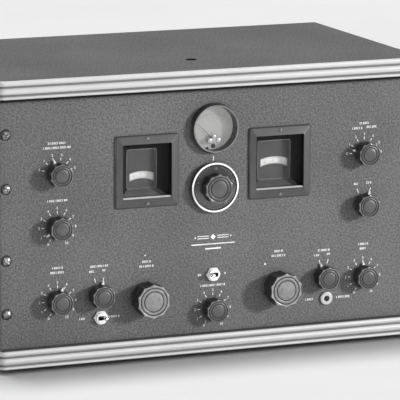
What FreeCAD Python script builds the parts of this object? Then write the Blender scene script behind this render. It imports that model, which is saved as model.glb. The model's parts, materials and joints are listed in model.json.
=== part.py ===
"""Table-cabinet communications receiver with a 19 inch rack panel, in millimetres.

+X is to the right of someone facing the panel, +Y goes into the cabinet, +Z is up.
The origin is under the middle of the whole object, on the surface that it stands on.
"""
import FreeCAD, Part
import Sketcher
import math
import os
import re

doc = FreeCAD.newDocument("receiver")
sheet = doc.addObject("Spreadsheet::Sheet", "sizes")

SIZES = {
    # cabinet
    "cabinet_depth": 290, "cabinet_width": 485.2, "sheet_gauge": 1.2, "corner_radius": 5.4,
    "rail_depth": 26, "rack_flange": 16, "lid_gauge": 1.6, "lid_gap": 0.3, "lid_skirt": 7,
    "finger_hole": 6.2, "finger_setback": 74,
    "front_reach": 23.5, "rear_reach": 10, "foot_height": 5, "foot_radius": 12, "foot_inset": 32,
    # ribbed mouldings along the top and bottom of the front
    "trim_height": 19.6, "trim_gauge": 2.6, "trim_base": 1.1, "trim_return": 60,
    "rib_tall": 5.3, "rib_middle": 6.3, "rib_low": 3.1, "groove": 2.45,
    # front panel: 19 inches by 6 rack units
    "panel_width": 482.6, "panel_height": 266.7, "panel_gauge": 4, "panel_setback": 10.6,
    "notch_width": 7.1, "notch_depth": 11.4, "screw_inset": 7.9, "screw_head": 6.2,
    # columns and rows of the controls, from the panel's middle and lower edge
    "column_edge": 176.8, "column_inner": 130, "column_dial": 76.4,
    "column_toggle": 128.5, "column_jack": 133,
    # dial windows and discs
    "frame_width": 72, "frame_height": 78, "frame_proud": 3, "window_width": 55,
    "window_height": 58, "window_row": 180.5, "bevel": 3, "glass_gauge": 2,
    "main_mask_width": 37, "spread_mask_width": 41, "mask_height": 72, "mask_setback": 14.5, "dial_row": 141,
    "main_dial_radius": 37.5, "spread_dial_radius": 43.5, "dial_setback": 17.5,
    "main_slot_width": 31.5, "spread_slot_width": 36, "slot_height": 8,
    # meter
    "meter_row": 222, "meter_radius": 27.2, "meter_rim": 24, "meter_proud": 8, "meter_barrel": 25.2,
    "meter_length": 38, "meter_face_radius": 23.8, "meter_glass_radius": 23.8, "meter_glass_gauge": 0.9,
    "card_gauge": 0.8, "card_depth": 4.6, "needle_drop": 12.5, "needle_length": 26, "needle_depth": 1.5,
    # knobs, shafts and bushings
    "shaft_radius": 3.175, "bushing_radius": 4.76, "running_gap": 0.05, "knob_gap": 3,
    "small_radius": 13.1, "small_length": 13.5, "large_radius": 18.7, "large_length": 20,
    "centre_radius": 16.3, "centre_length": 11, "skirt_radius": 24.6, "skirt_gauge": 3.5, "ring_radius": 26.9,
    # drive
    "shaft_row": 43.5, "main_drum": 45, "spread_drum": 36, "pulley": 4.5, "drum_setback": 26,
    # chassis and what stands on it
    "chassis_width": 440, "chassis_deck": 105, "chassis_floor": 28, "chassis_setback": 46,
    "gang_width": 74, "gang_length": 120, "rotor_radius": 29, "plate_gauge": 0.8,
    "gang_wall": 2.5, "plate_pitch": 6, "valve_column": 196, "can_column": 150, "valve_pitch": 46,
    "first_valve": 34, "can_side": 34, "can_height": 88,
    # openings of the sides and the back
    "louvre_length": 120, "louvre_height": 4, "louvre_row": 178, "louvre_pitch": 14, "louvre_setback": 160,
    "rear_mouth_width": 448, "rear_mouth_height": 246, "rear_mouth_row": 26,
    "cover_width": 464, "cover_height": 262, "cover_row": 18, "vent_width": 5, "vent_height": 42,
    "vent_pitch": 22, "vent_row": 100, "vent_rise": 56, "socket_row": 57,
    # lid hinge
    "hinge_length": 420, "knuckle_radius": 2.6, "pin_radius": 1.2, "hinge_reach": 3.4,
    "hinge_drop": 3.5, "leaf_gauge": 1,
    # toggle switches and telephone jack
    "nut_flats": 14.2, "nut_gauge": 2.4, "neck_radius": 5.9, "lever_length": 17, "lever_lean": 11,
    "well_radius": 4.5, "lever_root": 1.2, "lever_tip": 2, "lever_pivot": 7,
    "plug_radius": 3.25, "jack_depth": 26, "jack_nut_radius": 7.2, "jack_nut_gauge": 2.6,
}
for row, (alias, number) in enumerate(SIZES.items(), start=1):
    sheet.set("A%d" % row, alias)
    sheet.set("B%d" % row, str(number))
    sheet.setAlias("B%d" % row, alias)
doc.recompute()

# Heights above the panel's lower edge of the rows of controls.
ROWS = {"selector": 184, "phasing": 127, "edge_low": 47.5, "inner_low": 50.5,
        "centre_low": 25.6, "switch_low": 26.3, "centre_switch": 63.3, "band": 158.5}

# The nine small knobs: name, column in the sheet, side of the panel and height.
SMALL_KNOBS = [
    ("selectivity_knob", "column_edge", -1, ROWS["selector"]),
    ("phasing_knob", "column_edge", -1, ROWS["phasing"]),
    ("bandwidth_knob", "column_edge", -1, ROWS["edge_low"]),
    ("limiter_knob", "column_inner", -1, ROWS["inner_low"]),
    ("sensitivity_knob", "column_edge", 0, ROWS["centre_low"]),
    ("avc_knob", "column_inner", 1, ROWS["inner_low"]),
    ("audio_gain_knob", "column_edge", 1, ROWS["edge_low"]),
    ("mode_knob", "column_edge", 1, ROWS["phasing"]),
    ("beat_knob", "column_edge", 1, ROWS["selector"]),
]
RACK_ROWS = (38.1, 95.25, 171.45, 228.6)
# Toggle switches and the telephone jack: column in the sheet, side of the panel and height.
TOGGLES = [("column_toggle", -1, ROWS["switch_low"]), ("column_toggle", 0, ROWS["centre_switch"])]
JACK = ("column_jack", 1, ROWS["switch_low"])

nodes = []


# ---------------------------------------------------------------- helpers

def num(alias):
    """Value of one cell of the sheet."""
    return float(sheet.get(alias))


def ref(text):
    """Expression in which every alias points at its cell."""
    return re.sub(r"[a-z_]{3,}", lambda m: "sizes." + m.group(0) if m.group(0) in SIZES else m.group(0),
                  str(text))


def behind(offset):
    """Y expression of a plane this far behind the panel's front face."""
    return ("(front_reach - panel_setback - cabinet_depth - rear_reach) / 2 + panel_setback + (%s)"
            % offset)


def above(height):
    """Z expression of a height above the panel's lower edge."""
    return "foot_height + trim_height + (%s)" % height


def front_plane():
    return (num("front_reach") - num("panel_setback") - num("cabinet_depth") - num("rear_reach")) / 2


def panel_plane():
    return front_plane() + num("panel_setback")


def back_plane():
    return front_plane() + num("cabinet_depth")


def panel_foot():
    return num("foot_height") + num("trim_height")


def trim_top():
    return panel_foot() + num("panel_height") + num("trim_height")


BACK = behind("cabinet_depth - panel_setback")
FRONT = behind("-panel_setback")
TOP = above("panel_height + trim_height")


def bind(obj, **properties):
    for name, text in properties.items():
        obj.setExpression(name.replace("__", "."), ref(text))
    return obj


def put(obj, x, y, z, axis=None, angle=0):
    """Give an object its place by expressions, and its turn by an axis and an angle."""
    if axis:
        obj.Placement = FreeCAD.Placement(FreeCAD.Vector(), FreeCAD.Rotation(FreeCAD.Vector(*axis), angle))
    return bind(obj, Placement__Base__x=x, Placement__Base__y=y, Placement__Base__z=z)


def box(length, width, height, x, y, z, name="Block"):
    """Block whose x is its middle and whose y and z are its lowest corner."""
    obj = doc.addObject("Part::Box", name)
    bind(obj, Length=length, Width=width, Height=height)
    return put(obj, "(%s) - (%s) / 2" % (x, length), y, z)


def rod(radius, length, x, y, z, axis="y", name="Rod"):
    """Round bar that starts at x, y, z and runs along +X, +Y or +Z."""
    turns = {"x": ((0, 1, 0), 90), "y": ((1, 0, 0), -90), "z": ((0, 0, 1), 0)}
    obj = doc.addObject("Part::Cylinder", name)
    bind(obj, Radius=radius, Height=length)
    return put(obj, x, y, z, *turns[axis])


def fused(parts, name="Union"):
    obj = doc.addObject("Part::MultiFuse", name)
    obj.Shapes = parts
    return obj


def less(base, tools, name="Difference"):
    obj = doc.addObject("Part::Cut", name)
    obj.Base = base
    obj.Tool = tools[0] if len(tools) == 1 else fused(tools, "Tools")
    return obj


def node(obj, name):
    """Make an object a sub-part: its label names its file."""
    obj.Label = name
    nodes.append(obj)
    return obj


def solid_node(shape, name, x=0.0, y=0.0, z=0.0):
    """Sub-part from a shape or a list of separate solids."""
    obj = doc.addObject("Part::Feature", name)
    obj.Shape = Part.makeCompound(shape) if isinstance(shape, list) else shape
    moved = FreeCAD.Placement(FreeCAD.Vector(x, y, z), FreeCAD.Rotation())
    obj.Placement = moved.multiply(obj.Shape.Placement)
    return node(obj, name)


def plane_of(body, role):
    return next(item for item in body.Origin.OriginFeatures if item.Role == role)


def sketch_on(body, role, name):
    sketch = body.newObject("Sketcher::SketchObject", name)
    sketch.AttachmentSupport = [(plane_of(body, role), "")]
    sketch.MapMode = "FlatFace"
    return sketch


def outline(sketch, points):
    """Closed outline with every corner tied to the sheet: points are pairs of expressions."""
    count = len(points)
    guess = [(math.cos(2 * math.pi * i / count) * 9, math.sin(2 * math.pi * i / count) * 9)
             for i in range(count)]
    for i in range(count):
        start, end = guess[i], guess[(i + 1) % count]
        sketch.addGeometry(Part.LineSegment(FreeCAD.Vector(*start, 0), FreeCAD.Vector(*end, 0)))
    for i in range(count):
        sketch.addConstraint(Sketcher.Constraint("Coincident", i, 2, (i + 1) % count, 1))
    for i, corner in enumerate(points):
        for kind, text in zip(("DistanceX", "DistanceY"), corner):
            index = sketch.addConstraint(Sketcher.Constraint(kind, -1, 1, i, 1, guess[i][kind[-1] == "Y"]))
            sketch.setExpression("Constraints[%d]" % index, ref(text))


def turned_body(name, points):
    """Body turned about its own Z axis from an outline of radius and height."""
    body = doc.addObject("PartDesign::Body", name)
    sketch = sketch_on(body, "XZ_Plane", "Profile")
    outline(sketch, points)
    turn = body.newObject("PartDesign::Revolution", "Turned")
    turn.Profile = sketch
    turn.ReferenceAxis = (sketch, ["V_Axis"])
    turn.Angle = 360
    sketch.Visibility = False
    return body


def face_panel(body, x, height, offset="0"):
    """Stand a turned body on the panel with its axis towards the user."""
    return put(body, x, behind(offset), above(height), (1, 0, 0), 90)


def flute(body, radius, count, depth):
    """Cut shallow hollows around a knob's side."""
    sketch = sketch_on(body, "XY_Plane", "Flute")
    sketch.addGeometry(Part.Circle(FreeCAD.Vector(20, 0, 0), FreeCAD.Vector(0, 0, 1), 3))
    sketch.addConstraint(Sketcher.Constraint("PointOnObject", 0, 3, -1))
    place = sketch.addConstraint(Sketcher.Constraint("DistanceX", -1, 1, 0, 3, 20))
    size = sketch.addConstraint(Sketcher.Constraint("Radius", 0, 3))
    sketch.setExpression("Constraints[%d]" % place, ref("(%s) * 1.32 - %s" % (radius, depth)))
    sketch.setExpression("Constraints[%d]" % size, ref("(%s) * 0.32" % radius))
    pocket = body.newObject("PartDesign::Pocket", "Hollow")
    pocket.Profile = sketch
    pocket.Type = 1
    pocket.Midplane = True
    doc.recompute()
    pattern = body.newObject("PartDesign::PolarPattern", "Hollows")
    pattern.Originals = [pocket]
    pattern.Axis = (sketch, ["N_Axis"])
    pattern.Angle = 360
    pattern.Occurrences = count
    body.Tip = pattern
    doc.recompute()


def side_x(column, side):
    return "%d * (%s)" % (side, column)


# ---------------------------------------------------------------- cabinet

def trim_section():
    """Section of the ribbed moulding: x is outwards from the cabinet, z is up."""
    base, gauge = num("trim_base"), num("trim_gauge")
    edges, level = [], 0.0
    corner = FreeCAD.Vector(0, 0, 0)
    here = FreeCAD.Vector(base, 0, 0)
    edges.append(Part.LineSegment(corner, here).toShape())
    groove = num("groove")
    for rib in (num("rib_low"), num("rib_middle"), num("rib_tall")):
        low, high = FreeCAD.Vector(base, 0, level), FreeCAD.Vector(base, 0, level + rib)
        crown = FreeCAD.Vector(gauge, 0, level + rib / 2)
        edges.append(Part.Arc(low, crown, high).toShape())
        level += rib
        if rib != num("rib_tall"):
            edges.append(Part.LineSegment(high, FreeCAD.Vector(base, 0, level + groove)).toShape())
            level += groove
    edges.append(Part.LineSegment(FreeCAD.Vector(base, 0, level), FreeCAD.Vector(0, 0, level)).toShape())
    edges.append(Part.LineSegment(FreeCAD.Vector(0, 0, level), corner).toShape())
    return Part.Face(Part.Wire(edges))


def make_trim(name, height):
    """Moulding across the front, round both corners and back along the sides."""
    half = num("cabinet_width") / 2
    radius = num("corner_radius")
    shell_front = front_plane() + num("trim_gauge")
    section = trim_section()
    front = section.copy()
    front.rotate(FreeCAD.Vector(), FreeCAD.Vector(0, 0, 1), -90)
    front.translate(FreeCAD.Vector(-(half - radius), shell_front, height))
    run = front.extrude(FreeCAD.Vector(2 * (half - radius), 0, 0))
    pieces = [run]
    for side in (-1, 1):
        wing = section.copy()
        wing.rotate(FreeCAD.Vector(), FreeCAD.Vector(0, 0, 1), 90 - 90 * side)
        wing.translate(FreeCAD.Vector(side * half, shell_front + radius, height))
        pieces.append(wing.extrude(FreeCAD.Vector(0, num("trim_return"), 0)))
        pivot = FreeCAD.Vector(side * (half - radius), shell_front + radius, height)
        pieces.append(wing.revolve(pivot, FreeCAD.Vector(0, 0, 1), -90 * side))
    return solid_node(pieces[0].multiFuse(pieces[1:]).removeSplitter(), name)


def vertical_front_edges(shape, front):
    """Numbers of the upright edges on a block's front face."""
    found = []
    for index, edge in enumerate(shape.Edges, start=1):
        ends = [vertex.Point for vertex in edge.Vertexes]
        upright = len(ends) == 2 and abs(ends[0].x - ends[1].x) < 0.01 and abs(ends[0].y - ends[1].y) < 0.01
        if upright and abs(ends[0].y - front) < 0.01:
            found.append(index)
    return found


def rounded_block(length, width, height, x, y, z, radius):
    """Block with its two upright front corners rounded."""
    block = box(length, width, height, x, y, z)
    doc.recompute()
    obj = doc.addObject("Part::Fillet", "Rounded")
    obj.Base = block
    front = block.Shape.BoundBox.YMin
    obj.Edges = [(index, radius, radius) for index in vertical_front_edges(block.Shape, front)]
    return obj


def louvres():
    """Rows of ventilation slots through both side walls."""
    cuts = []
    for row in range(7):
        level = "foot_height + louvre_row + %d * louvre_pitch" % row
        cuts.append(box("cabinet_width + 20", "louvre_length", "louvre_height", "0",
                        BACK + " - louvre_setback", level))
    return cuts


def make_shell():
    """Folded steel wrapper with front rails, rack flanges, open top and a framed back."""
    gauge, radius = "sheet_gauge", num("corner_radius")
    shell_y = FRONT + " + trim_gauge"
    depth = "cabinet_depth - trim_gauge"
    height = "panel_height + 2 * trim_height - lid_gauge - lid_gap"
    outer = rounded_block("cabinet_width", depth, height, "0", shell_y, "foot_height", radius)
    inner = rounded_block("cabinet_width - 2 * sheet_gauge", depth + " - 2 * sheet_gauge", height,
                          "0", shell_y + " + sheet_gauge", "foot_height + sheet_gauge",
                          radius - num("sheet_gauge"))
    mouth = box("cabinet_width - 2 * sheet_gauge", "panel_setback + 12", "panel_height", "0",
                FRONT + " - 2", above("0"))
    back_hole = box("rear_mouth_width", 8, "rear_mouth_height", "0", BACK + " - 4",
                    "foot_height + rear_mouth_row")
    back_rim = box("cabinet_width - 2 * sheet_gauge", 4, 6, "0", BACK + " - 2", TOP + " - 4.1")
    shell = less(outer, [inner, mouth, back_hole, back_rim] + louvres(), "Wrapper")
    shelf_y = shell_y + " + sheet_gauge"
    inside = "cabinet_width - 2 * sheet_gauge"
    upper_shelf = box(inside, "rail_depth", gauge, "0", shelf_y, above("panel_height"))
    lower_shelf = box(inside, "rail_depth", gauge, "0", shelf_y, above("-sheet_gauge"))
    parts = [shell, upper_shelf, lower_shelf]
    for side in (-1, 1):
        flange = box("rack_flange", 2, "panel_height", "%d * ((%s) / 2 - rack_flange / 2)" % (side, inside),
                     behind("panel_gauge"), above("0"))
        parts.append(flange)
    node(fused(parts, "cabinet_shell"), "cabinet_shell")


def make_rear_cover():
    """Screwed plate over the back, with ventilation slots and a cut-out for the connections."""
    plate = box("cover_width", "sheet_gauge", "cover_height", "0", BACK, "foot_height + cover_row")
    cuts = [box(300, 6, 44, "0", BACK + " - 2", "foot_height + 36")]
    for row in range(3):
        for column in range(-8, 9):
            cuts.append(box("vent_width", 6, "vent_height", "%d * vent_pitch" % column, BACK + " - 2",
                            "foot_height + vent_row + %d * vent_rise" % row))
    node(less(plate, cuts, "rear_cover"), "rear_cover")


def make_feet():
    """Four rubber feet, wider where they meet the cabinet."""
    half = num("cabinet_width") / 2 - num("foot_inset")
    height = num("foot_height")
    feet = []
    for x in (-half, half):
        for y in (front_plane() + num("foot_inset"), back_plane() - num("foot_inset")):
            base = FreeCAD.Vector(x, y, 0)
            feet.append(Part.makeCone(num("foot_radius") - 2, num("foot_radius"), height, base))
    solid_node(feet, "feet")


def make_lid():
    """Full-width steel lid with a shallow skirt inside the cabinet's walls."""
    lid_y = FRONT + " + trim_gauge + lid_gap"
    depth = "cabinet_depth - trim_gauge - 2 * lid_gap"
    plate = rounded_block("cabinet_width - 2 * lid_gap", depth, "lid_gauge", "0", lid_y,
                          TOP + " - lid_gauge", num("corner_radius"))
    skirts = []
    for side in (-1, 1):
        skirts.append(box("sheet_gauge", depth + " - 60", "lid_skirt",
                          side_x("cabinet_width / 2 - 2 * sheet_gauge", side),
                          lid_y + " + 30", TOP + " - lid_gauge - lid_skirt"))
    cup = rod("finger_hole", 6, "0", FRONT + " + finger_setback", TOP + " - 4", "z")
    node(less(fused([plate] + skirts, "LidSheet"), [cup], "cabinet_lid"), "cabinet_lid")


def make_finger_pull():
    """Small bright lift button in a dished ferrule in the lid."""
    points = [("0", "-5.2"), ("7.6", "-5.2"), ("7.6", "-1.6"), ("6.2", "-1.6"), ("6.2", "0.25"),
              ("5.1", "0.25"), ("5.1", "-4"), ("2.6", "-4"), ("3.4", "-0.6"), ("0", "0.25")]
    body = turned_body("lid_finger_pull", points)
    put(body, "0", FRONT + " + finger_setback", TOP, (0, 0, 1), 0)
    node(body, "lid_finger_pull")


def knuckle(start, length, bore):
    axis_y = back_plane() + num("hinge_reach")
    axis_z = trim_top() - num("hinge_drop")
    place = FreeCAD.Vector(start, axis_y, axis_z)
    along = FreeCAD.Vector(1, 0, 0)
    barrel = Part.makeCylinder(num("knuckle_radius"), length, place, along)
    return barrel.cut(Part.makeCylinder(bore, length, place, along))


def make_hinge():
    """Continuous hinge: two leaves with alternate knuckles on one pin."""
    count, gap = 11, 0.5
    pitch = num("hinge_length") / count
    start = -num("hinge_length") / 2
    gauge, reach = num("leaf_gauge"), num("hinge_reach")
    axis_z = trim_top() - num("hinge_drop")
    leaf_top = trim_top() - num("lid_gauge")
    down = Part.makeBox(num("hinge_length"), gauge, 18, FreeCAD.Vector(start, back_plane(), axis_z - 20))
    fixed, moving = [down], []
    over = 16
    for index in range(count):
        left = start + index * pitch + gap / 2
        width = pitch - gap
        if index % 2 == 0:
            tab = Part.makeBox(width, gauge, 3, FreeCAD.Vector(left, back_plane(), axis_z - 3))
            joined = knuckle(left, width, num("pin_radius"))
            fixed += [tab, joined]
        else:
            strip = Part.makeBox(width, reach + over, gauge,
                                 FreeCAD.Vector(left, back_plane() - over, leaf_top - gauge))
            hollow = Part.makeCylinder(num("pin_radius") + 0.06, width,
                                       FreeCAD.Vector(left, back_plane() + reach, axis_z),
                                       FreeCAD.Vector(1, 0, 0))
            moving.append(strip.cut(hollow))
            moving.append(knuckle(left, width, num("pin_radius") + 0.06))
    tie = Part.makeBox(num("hinge_length"), 12, gauge,
                       FreeCAD.Vector(start, back_plane() - over, leaf_top - gauge))
    solid_node(fixed[0].multiFuse(fixed[1:]), "hinge_leaf_fixed")
    solid_node(tie.multiFuse(moving), "hinge_leaf_moving")
    pin = rod("pin_radius", "hinge_length + 2", "-hinge_length / 2 - 1", BACK + " + hinge_reach",
              TOP + " - hinge_drop", "x", "hinge_pin")
    node(pin, "hinge_pin")


# ---------------------------------------------------------------- front panel

def control_hole(x, height, radius="bushing_radius + 0.15"):
    return rod(radius, "panel_gauge + 10", x, behind("-5"), above(height))


def make_panel():
    """Rack panel with notched ends, two windows, the meter hole and the control holes."""
    plate = box("panel_width", "panel_gauge", "panel_height", "0", behind("0"), above("0"))
    cuts = []
    for side in (-1, 1):
        for height in RACK_ROWS:
            cuts.append(box("notch_depth * 2", "panel_gauge + 2", "notch_width",
                            side_x("panel_width / 2", side), behind("-1"),
                            above("%s - notch_width / 2" % height)))
        cuts.append(box("window_width", "panel_gauge + 2", "window_height", side_x("column_dial", side),
                        behind("-1"), above("window_row - window_height / 2")))
        cuts.append(control_hole(side_x("column_dial", side), "shaft_row"))
    cuts.append(control_hole("0", "meter_row", "meter_barrel + 0.2"))
    cuts.append(control_hole("0", str(ROWS["band"])))
    for _, column, side, height in SMALL_KNOBS:
        cuts.append(control_hole(side_x(column, side), str(height)))
    for column, side, height in TOGGLES + [JACK]:
        cuts.append(control_hole(side_x(column, side), str(height), "neck_radius + 0.2"))
    node(less(plate, cuts, "front_panel"), "front_panel")


def slotted_screw(head, shank, length):
    """Round-headed slotted screw along +Y, its head in front of y = 0."""
    dome = Part.makeSphere(head * 1.25, FreeCAD.Vector(0, head * 0.75, 0))
    cap = Part.makeCylinder(head, head * 0.5, FreeCAD.Vector(0, -head * 0.5, 0), FreeCAD.Vector(0, 1, 0))
    slot = Part.makeBox(head * 2.4, head * 0.22, head * 0.24,
                        FreeCAD.Vector(-head * 1.2, -head * 0.52, -head * 0.12))
    stem = Part.makeCylinder(shank, length, FreeCAD.Vector(0, 0, 0), FreeCAD.Vector(0, 1, 0))
    return cap.common(dome).cut(slot).fuse(stem)


def make_rack_screws():
    """Eight screws that hold the panel by its notches."""
    screws = []
    for side in (-1, 1):
        for index, height in enumerate(RACK_ROWS):
            screw = slotted_screw(num("screw_head"), 2.4, num("panel_gauge"))
            screw.rotate(FreeCAD.Vector(), FreeCAD.Vector(0, 1, 0), 25 + 40 * index + 15 * side)
            screw.translate(FreeCAD.Vector(side * (num("panel_width") / 2 - num("screw_inset")),
                                           panel_plane(), panel_foot() + height))
            screws.append(screw)
    solid_node(screws, "rack_screws")


# ---------------------------------------------------------------- dial windows

SCREW_SHANK = 1.1


def frame_screw_reach():
    """Distance of a frame's screws from the middle of its window."""
    return (num("window_height") + num("frame_height")) / 4 + num("bevel") / 3


def make_escutcheon(name, side):
    """Bevelled frame around a dial window."""
    x = num("column_dial") * side
    half_w, half_h = num("frame_width") / 2, num("frame_height") / 2
    hole_w, hole_h = num("window_width") / 2, num("window_height") / 2
    proud, bevel = num("frame_proud"), num("bevel")
    row = panel_foot() + num("window_row")

    def ring(width, height, y):
        return Part.makePolygon([FreeCAD.Vector(x + sx * width, y, row + sz * height)
                                 for sx, sz in ((-1, -1), (1, -1), (1, 1), (-1, 1), (-1, -1))])
    front, back = panel_plane() - proud, panel_plane()
    outer = Part.makeLoft([ring(half_w, half_h, back), ring(half_w - 0.8, half_h - 0.8, front)], True, True)
    inner = Part.makeLoft([ring(hole_w - 0.8, hole_h - 0.8, back + 0.01),
                           ring(hole_w + bevel - 1, hole_h + bevel - 1, front - 0.01)], True, True)
    frame = outer.cut(inner)
    for sign in (-1, 1):
        place = FreeCAD.Vector(x, front, row + sign * frame_screw_reach())
        hole = Part.makeCylinder(SCREW_SHANK, proud, place, FreeCAD.Vector(0, 1, 0))
        frame = frame.cut(hole)
    solid_node(frame, name)


def make_escutcheon_screws():
    """One screw at the middle of the top and bottom of each frame."""
    screws = []
    front = panel_plane() - num("frame_proud")
    for side in (-1, 1):
        for sign in (-1, 1):
            screw = slotted_screw(2.2, SCREW_SHANK, num("frame_proud"))
            screw.rotate(FreeCAD.Vector(), FreeCAD.Vector(0, 1, 0), 80 if sign > 0 else 95)
            height = panel_foot() + num("window_row") + sign * frame_screw_reach()
            screw.translate(FreeCAD.Vector(side * num("column_dial"), front, height))
            screws.append(screw)
    solid_node(screws, "escutcheon_screws")


def make_window_glass(name, side):
    pane = box("window_width + 8", "glass_gauge", "window_height + 8", side_x("column_dial", side),
               behind("panel_gauge"), above("window_row - window_height / 2 - 4"), name)
    node(pane, name)


def make_dial_mask(name, side, radius, dial):
    """Plate behind a window with a curved slot over the dial's scale."""
    x = side_x("column_dial", side)
    width = dial + "_mask_width"
    plate = box(width, 1, "mask_height", x, behind("mask_setback"), above("window_row - mask_height / 2"))
    outer = rod("%s - 0.5" % radius, 6, x, behind("mask_setback - 3"), above("dial_row"))
    inner = rod("%s - 0.5 - slot_height" % radius, 8, x, behind("mask_setback - 4"), above("dial_row"))
    strip = box(dial + "_slot_width", 8, 60, x, behind("mask_setback - 4"), above("dial_row"))
    slot = doc.addObject("Part::Common", "Slot")
    slot.Base = less(outer, [inner], "Ring")
    slot.Tool = strip
    hanger = box(width, "mask_setback - panel_gauge + 1", 2, x, behind("panel_gauge"),
                 above("window_row + mask_height / 2"))
    node(less(fused([plate, hanger], "MaskPlate"), [slot], name), name)


def make_dial(name, side, radius):
    """Dial disc on its hub."""
    points = [("shaft_radius + 0.01", "-4"), ("8", "-4"), ("8", "-1"), (radius, "-1"), (radius, "0"),
              ("shaft_radius + 0.01", "0")]
    body = turned_body(name, points)
    face_panel(body, side_x("column_dial", side), "dial_row", "dial_setback")
    node(body, name)


# ---------------------------------------------------------------- meter

def make_meter_case():
    """Round meter: flanged rim in front of the panel and a closed barrel behind it."""
    points = [("0", "-meter_length"), ("meter_barrel", "-meter_length"), ("meter_barrel", "0"),
              ("meter_radius", "0"), ("meter_radius", "1.8"), ("meter_radius - 1", "2.4"),
              ("meter_radius - 1", "meter_proud - 1"), ("meter_radius - 1.8", "meter_proud"),
              ("meter_rim", "meter_proud"), ("meter_rim", "-card_depth"), ("0", "-card_depth")]
    body = turned_body("meter_case", points)
    face_panel(body, "0", "meter_row")
    node(body, "meter_case")


def make_meter_face():
    disc = rod("meter_face_radius", "card_gauge", "0", behind("card_depth - card_gauge"), above("meter_row"),
               name="meter_face")
    node(disc, "meter_face")


def make_meter_glass():
    pane = rod("meter_glass_radius", "meter_glass_gauge", "0", behind("-meter_proud + 0.6"),
               above("meter_row"), name="meter_glass")
    node(pane, "meter_glass")


def make_needle():
    """Pointer with its hub, lying towards the left end of the scale."""
    hub = Part.makeCylinder(2, 1.6, FreeCAD.Vector(0, -0.8, 0), FreeCAD.Vector(0, 1, 0))
    blade = Part.makeBox(0.7, 0.5, num("needle_length"), FreeCAD.Vector(-0.35, -0.25, 0))
    tail = Part.makeBox(1.6, 0.8, 6, FreeCAD.Vector(-0.8, -0.4, -6))
    needle = hub.multiFuse([blade, tail])
    needle.rotate(FreeCAD.Vector(), FreeCAD.Vector(0, 1, 0), -45)
    solid_node(needle, "meter_needle", 0, panel_plane() + num("needle_depth"),
               panel_foot() + num("meter_row") - num("needle_drop"))


# ---------------------------------------------------------------- knobs and what they turn

def knob_points(radius, length, gap="knob_gap", stem="-20"):
    """Outline of a moulded knob on its shaft, with a turned ring in its face."""
    face = "%s + %s" % (gap, length)
    return [("0", stem), ("shaft_radius", stem), ("shaft_radius", gap), (radius, gap),
            (radius, face + " - 2.4"), ("(%s) * 0.87" % radius, face),
            ("(%s) * 0.66" % radius, face), ("(%s) * 0.6" % radius, face + " - 1.1"),
            ("(%s) * 0.54" % radius, face), ("(%s) * 0.3" % radius, face + " + 0.35"), ("0", face + " + 0.5")]


def make_small_knob(name, column, side, height):
    body = turned_body(name, knob_points("small_radius", "small_length"))
    doc.recompute()
    flute(body, "small_radius", 10, 1.0)
    face_panel(body, side_x(column, side), str(height))
    node(body, name)


def make_large_knob(name, side):
    body = turned_body(name, knob_points("large_radius", "large_length", stem="knob_gap - 1"))
    doc.recompute()
    flute(body, "large_radius", 10, 1.3)
    face_panel(body, side_x("column_dial", side), "shaft_row")
    node(body, name)


def make_tuning_shaft(name, side):
    """Shaft of a tuning knob with the small pulley of the dial drive."""
    reach, hub = "drum_setback + 8", "drum_setback"
    points = [("0", "-(%s)" % reach), ("shaft_radius", "-(%s)" % reach), ("shaft_radius", "-(%s) - 5" % hub),
              ("pulley + 1.5", "-(%s) - 5" % hub), ("pulley + 1.5", "-(%s) - 4" % hub),
              ("pulley", "-(%s) - 3.4" % hub), ("pulley", "-(%s) - 1.6" % hub),
              ("pulley + 1.5", "-(%s) - 1" % hub), ("pulley + 1.5", "-(%s)" % hub),
              ("shaft_radius", "-(%s)" % hub), ("shaft_radius", "knob_gap - 1"), ("0", "knob_gap - 1")]
    body = turned_body(name, points)
    face_panel(body, side_x("column_dial", side), "shaft_row")
    node(body, name)


def make_band_switch():
    """Band selector: knob, lettered skirt and the bright ring around it."""
    base = "knob_gap + skirt_gauge"
    knob = turned_body("band_switch_knob", knob_points("centre_radius", "centre_length", base))
    doc.recompute()
    flute(knob, "centre_radius", 10, 1.2)
    face_panel(knob, "0", str(ROWS["band"]))
    node(knob, "band_switch_knob")
    skirt = turned_body("band_switch_skirt", [
        ("shaft_radius + 0.01", "knob_gap"), ("skirt_radius", "knob_gap"), ("skirt_radius", base + " - 1"),
        ("centre_radius + 1", base + " - 0.01"), ("shaft_radius + 0.01", base + " - 0.01")])
    face_panel(skirt, "0", str(ROWS["band"]))
    node(skirt, "band_switch_skirt")
    ring = turned_body("band_switch_ring", [
        ("skirt_radius + 0.01", "knob_gap"), ("ring_radius", "knob_gap"), ("ring_radius", base + " - 0.8"),
        ("ring_radius - 0.8", base), ("skirt_radius + 0.01", base)])
    face_panel(ring, "0", str(ROWS["band"]))
    node(ring, "band_switch_ring")


def hexagon(flats, gauge):
    """Nut blank across the given flats, along +Y from y = 0."""
    radius = flats / math.sqrt(3)
    turns = [math.radians(60 * i) for i in range(7)]
    corners = [FreeCAD.Vector(radius * math.cos(a), 0, radius * math.sin(a)) for a in turns]
    return Part.Face(Part.makePolygon(corners)).extrude(FreeCAD.Vector(0, gauge, 0))


def bushed_control(can_radius, can_length):
    """Rotary control: can behind the panel, threaded bushing through it, nut in front."""
    gauge = num("panel_gauge")
    along = FreeCAD.Vector(0, 1, 0)
    can = Part.makeCylinder(can_radius, can_length, FreeCAD.Vector(0, gauge, 0), along)
    bushing = Part.makeCylinder(num("bushing_radius"), gauge + 2.6, FreeCAD.Vector(0, -2.6, 0), along)
    nut = hexagon(12.7, 1.6)
    nut.translate(FreeCAD.Vector(0, -1.6, 0))
    bore = Part.makeCylinder(num("shaft_radius") + num("running_gap"), 60, FreeCAD.Vector(0, -10, 0), along)
    return can.multiFuse([bushing, nut]).cut(bore)


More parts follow.
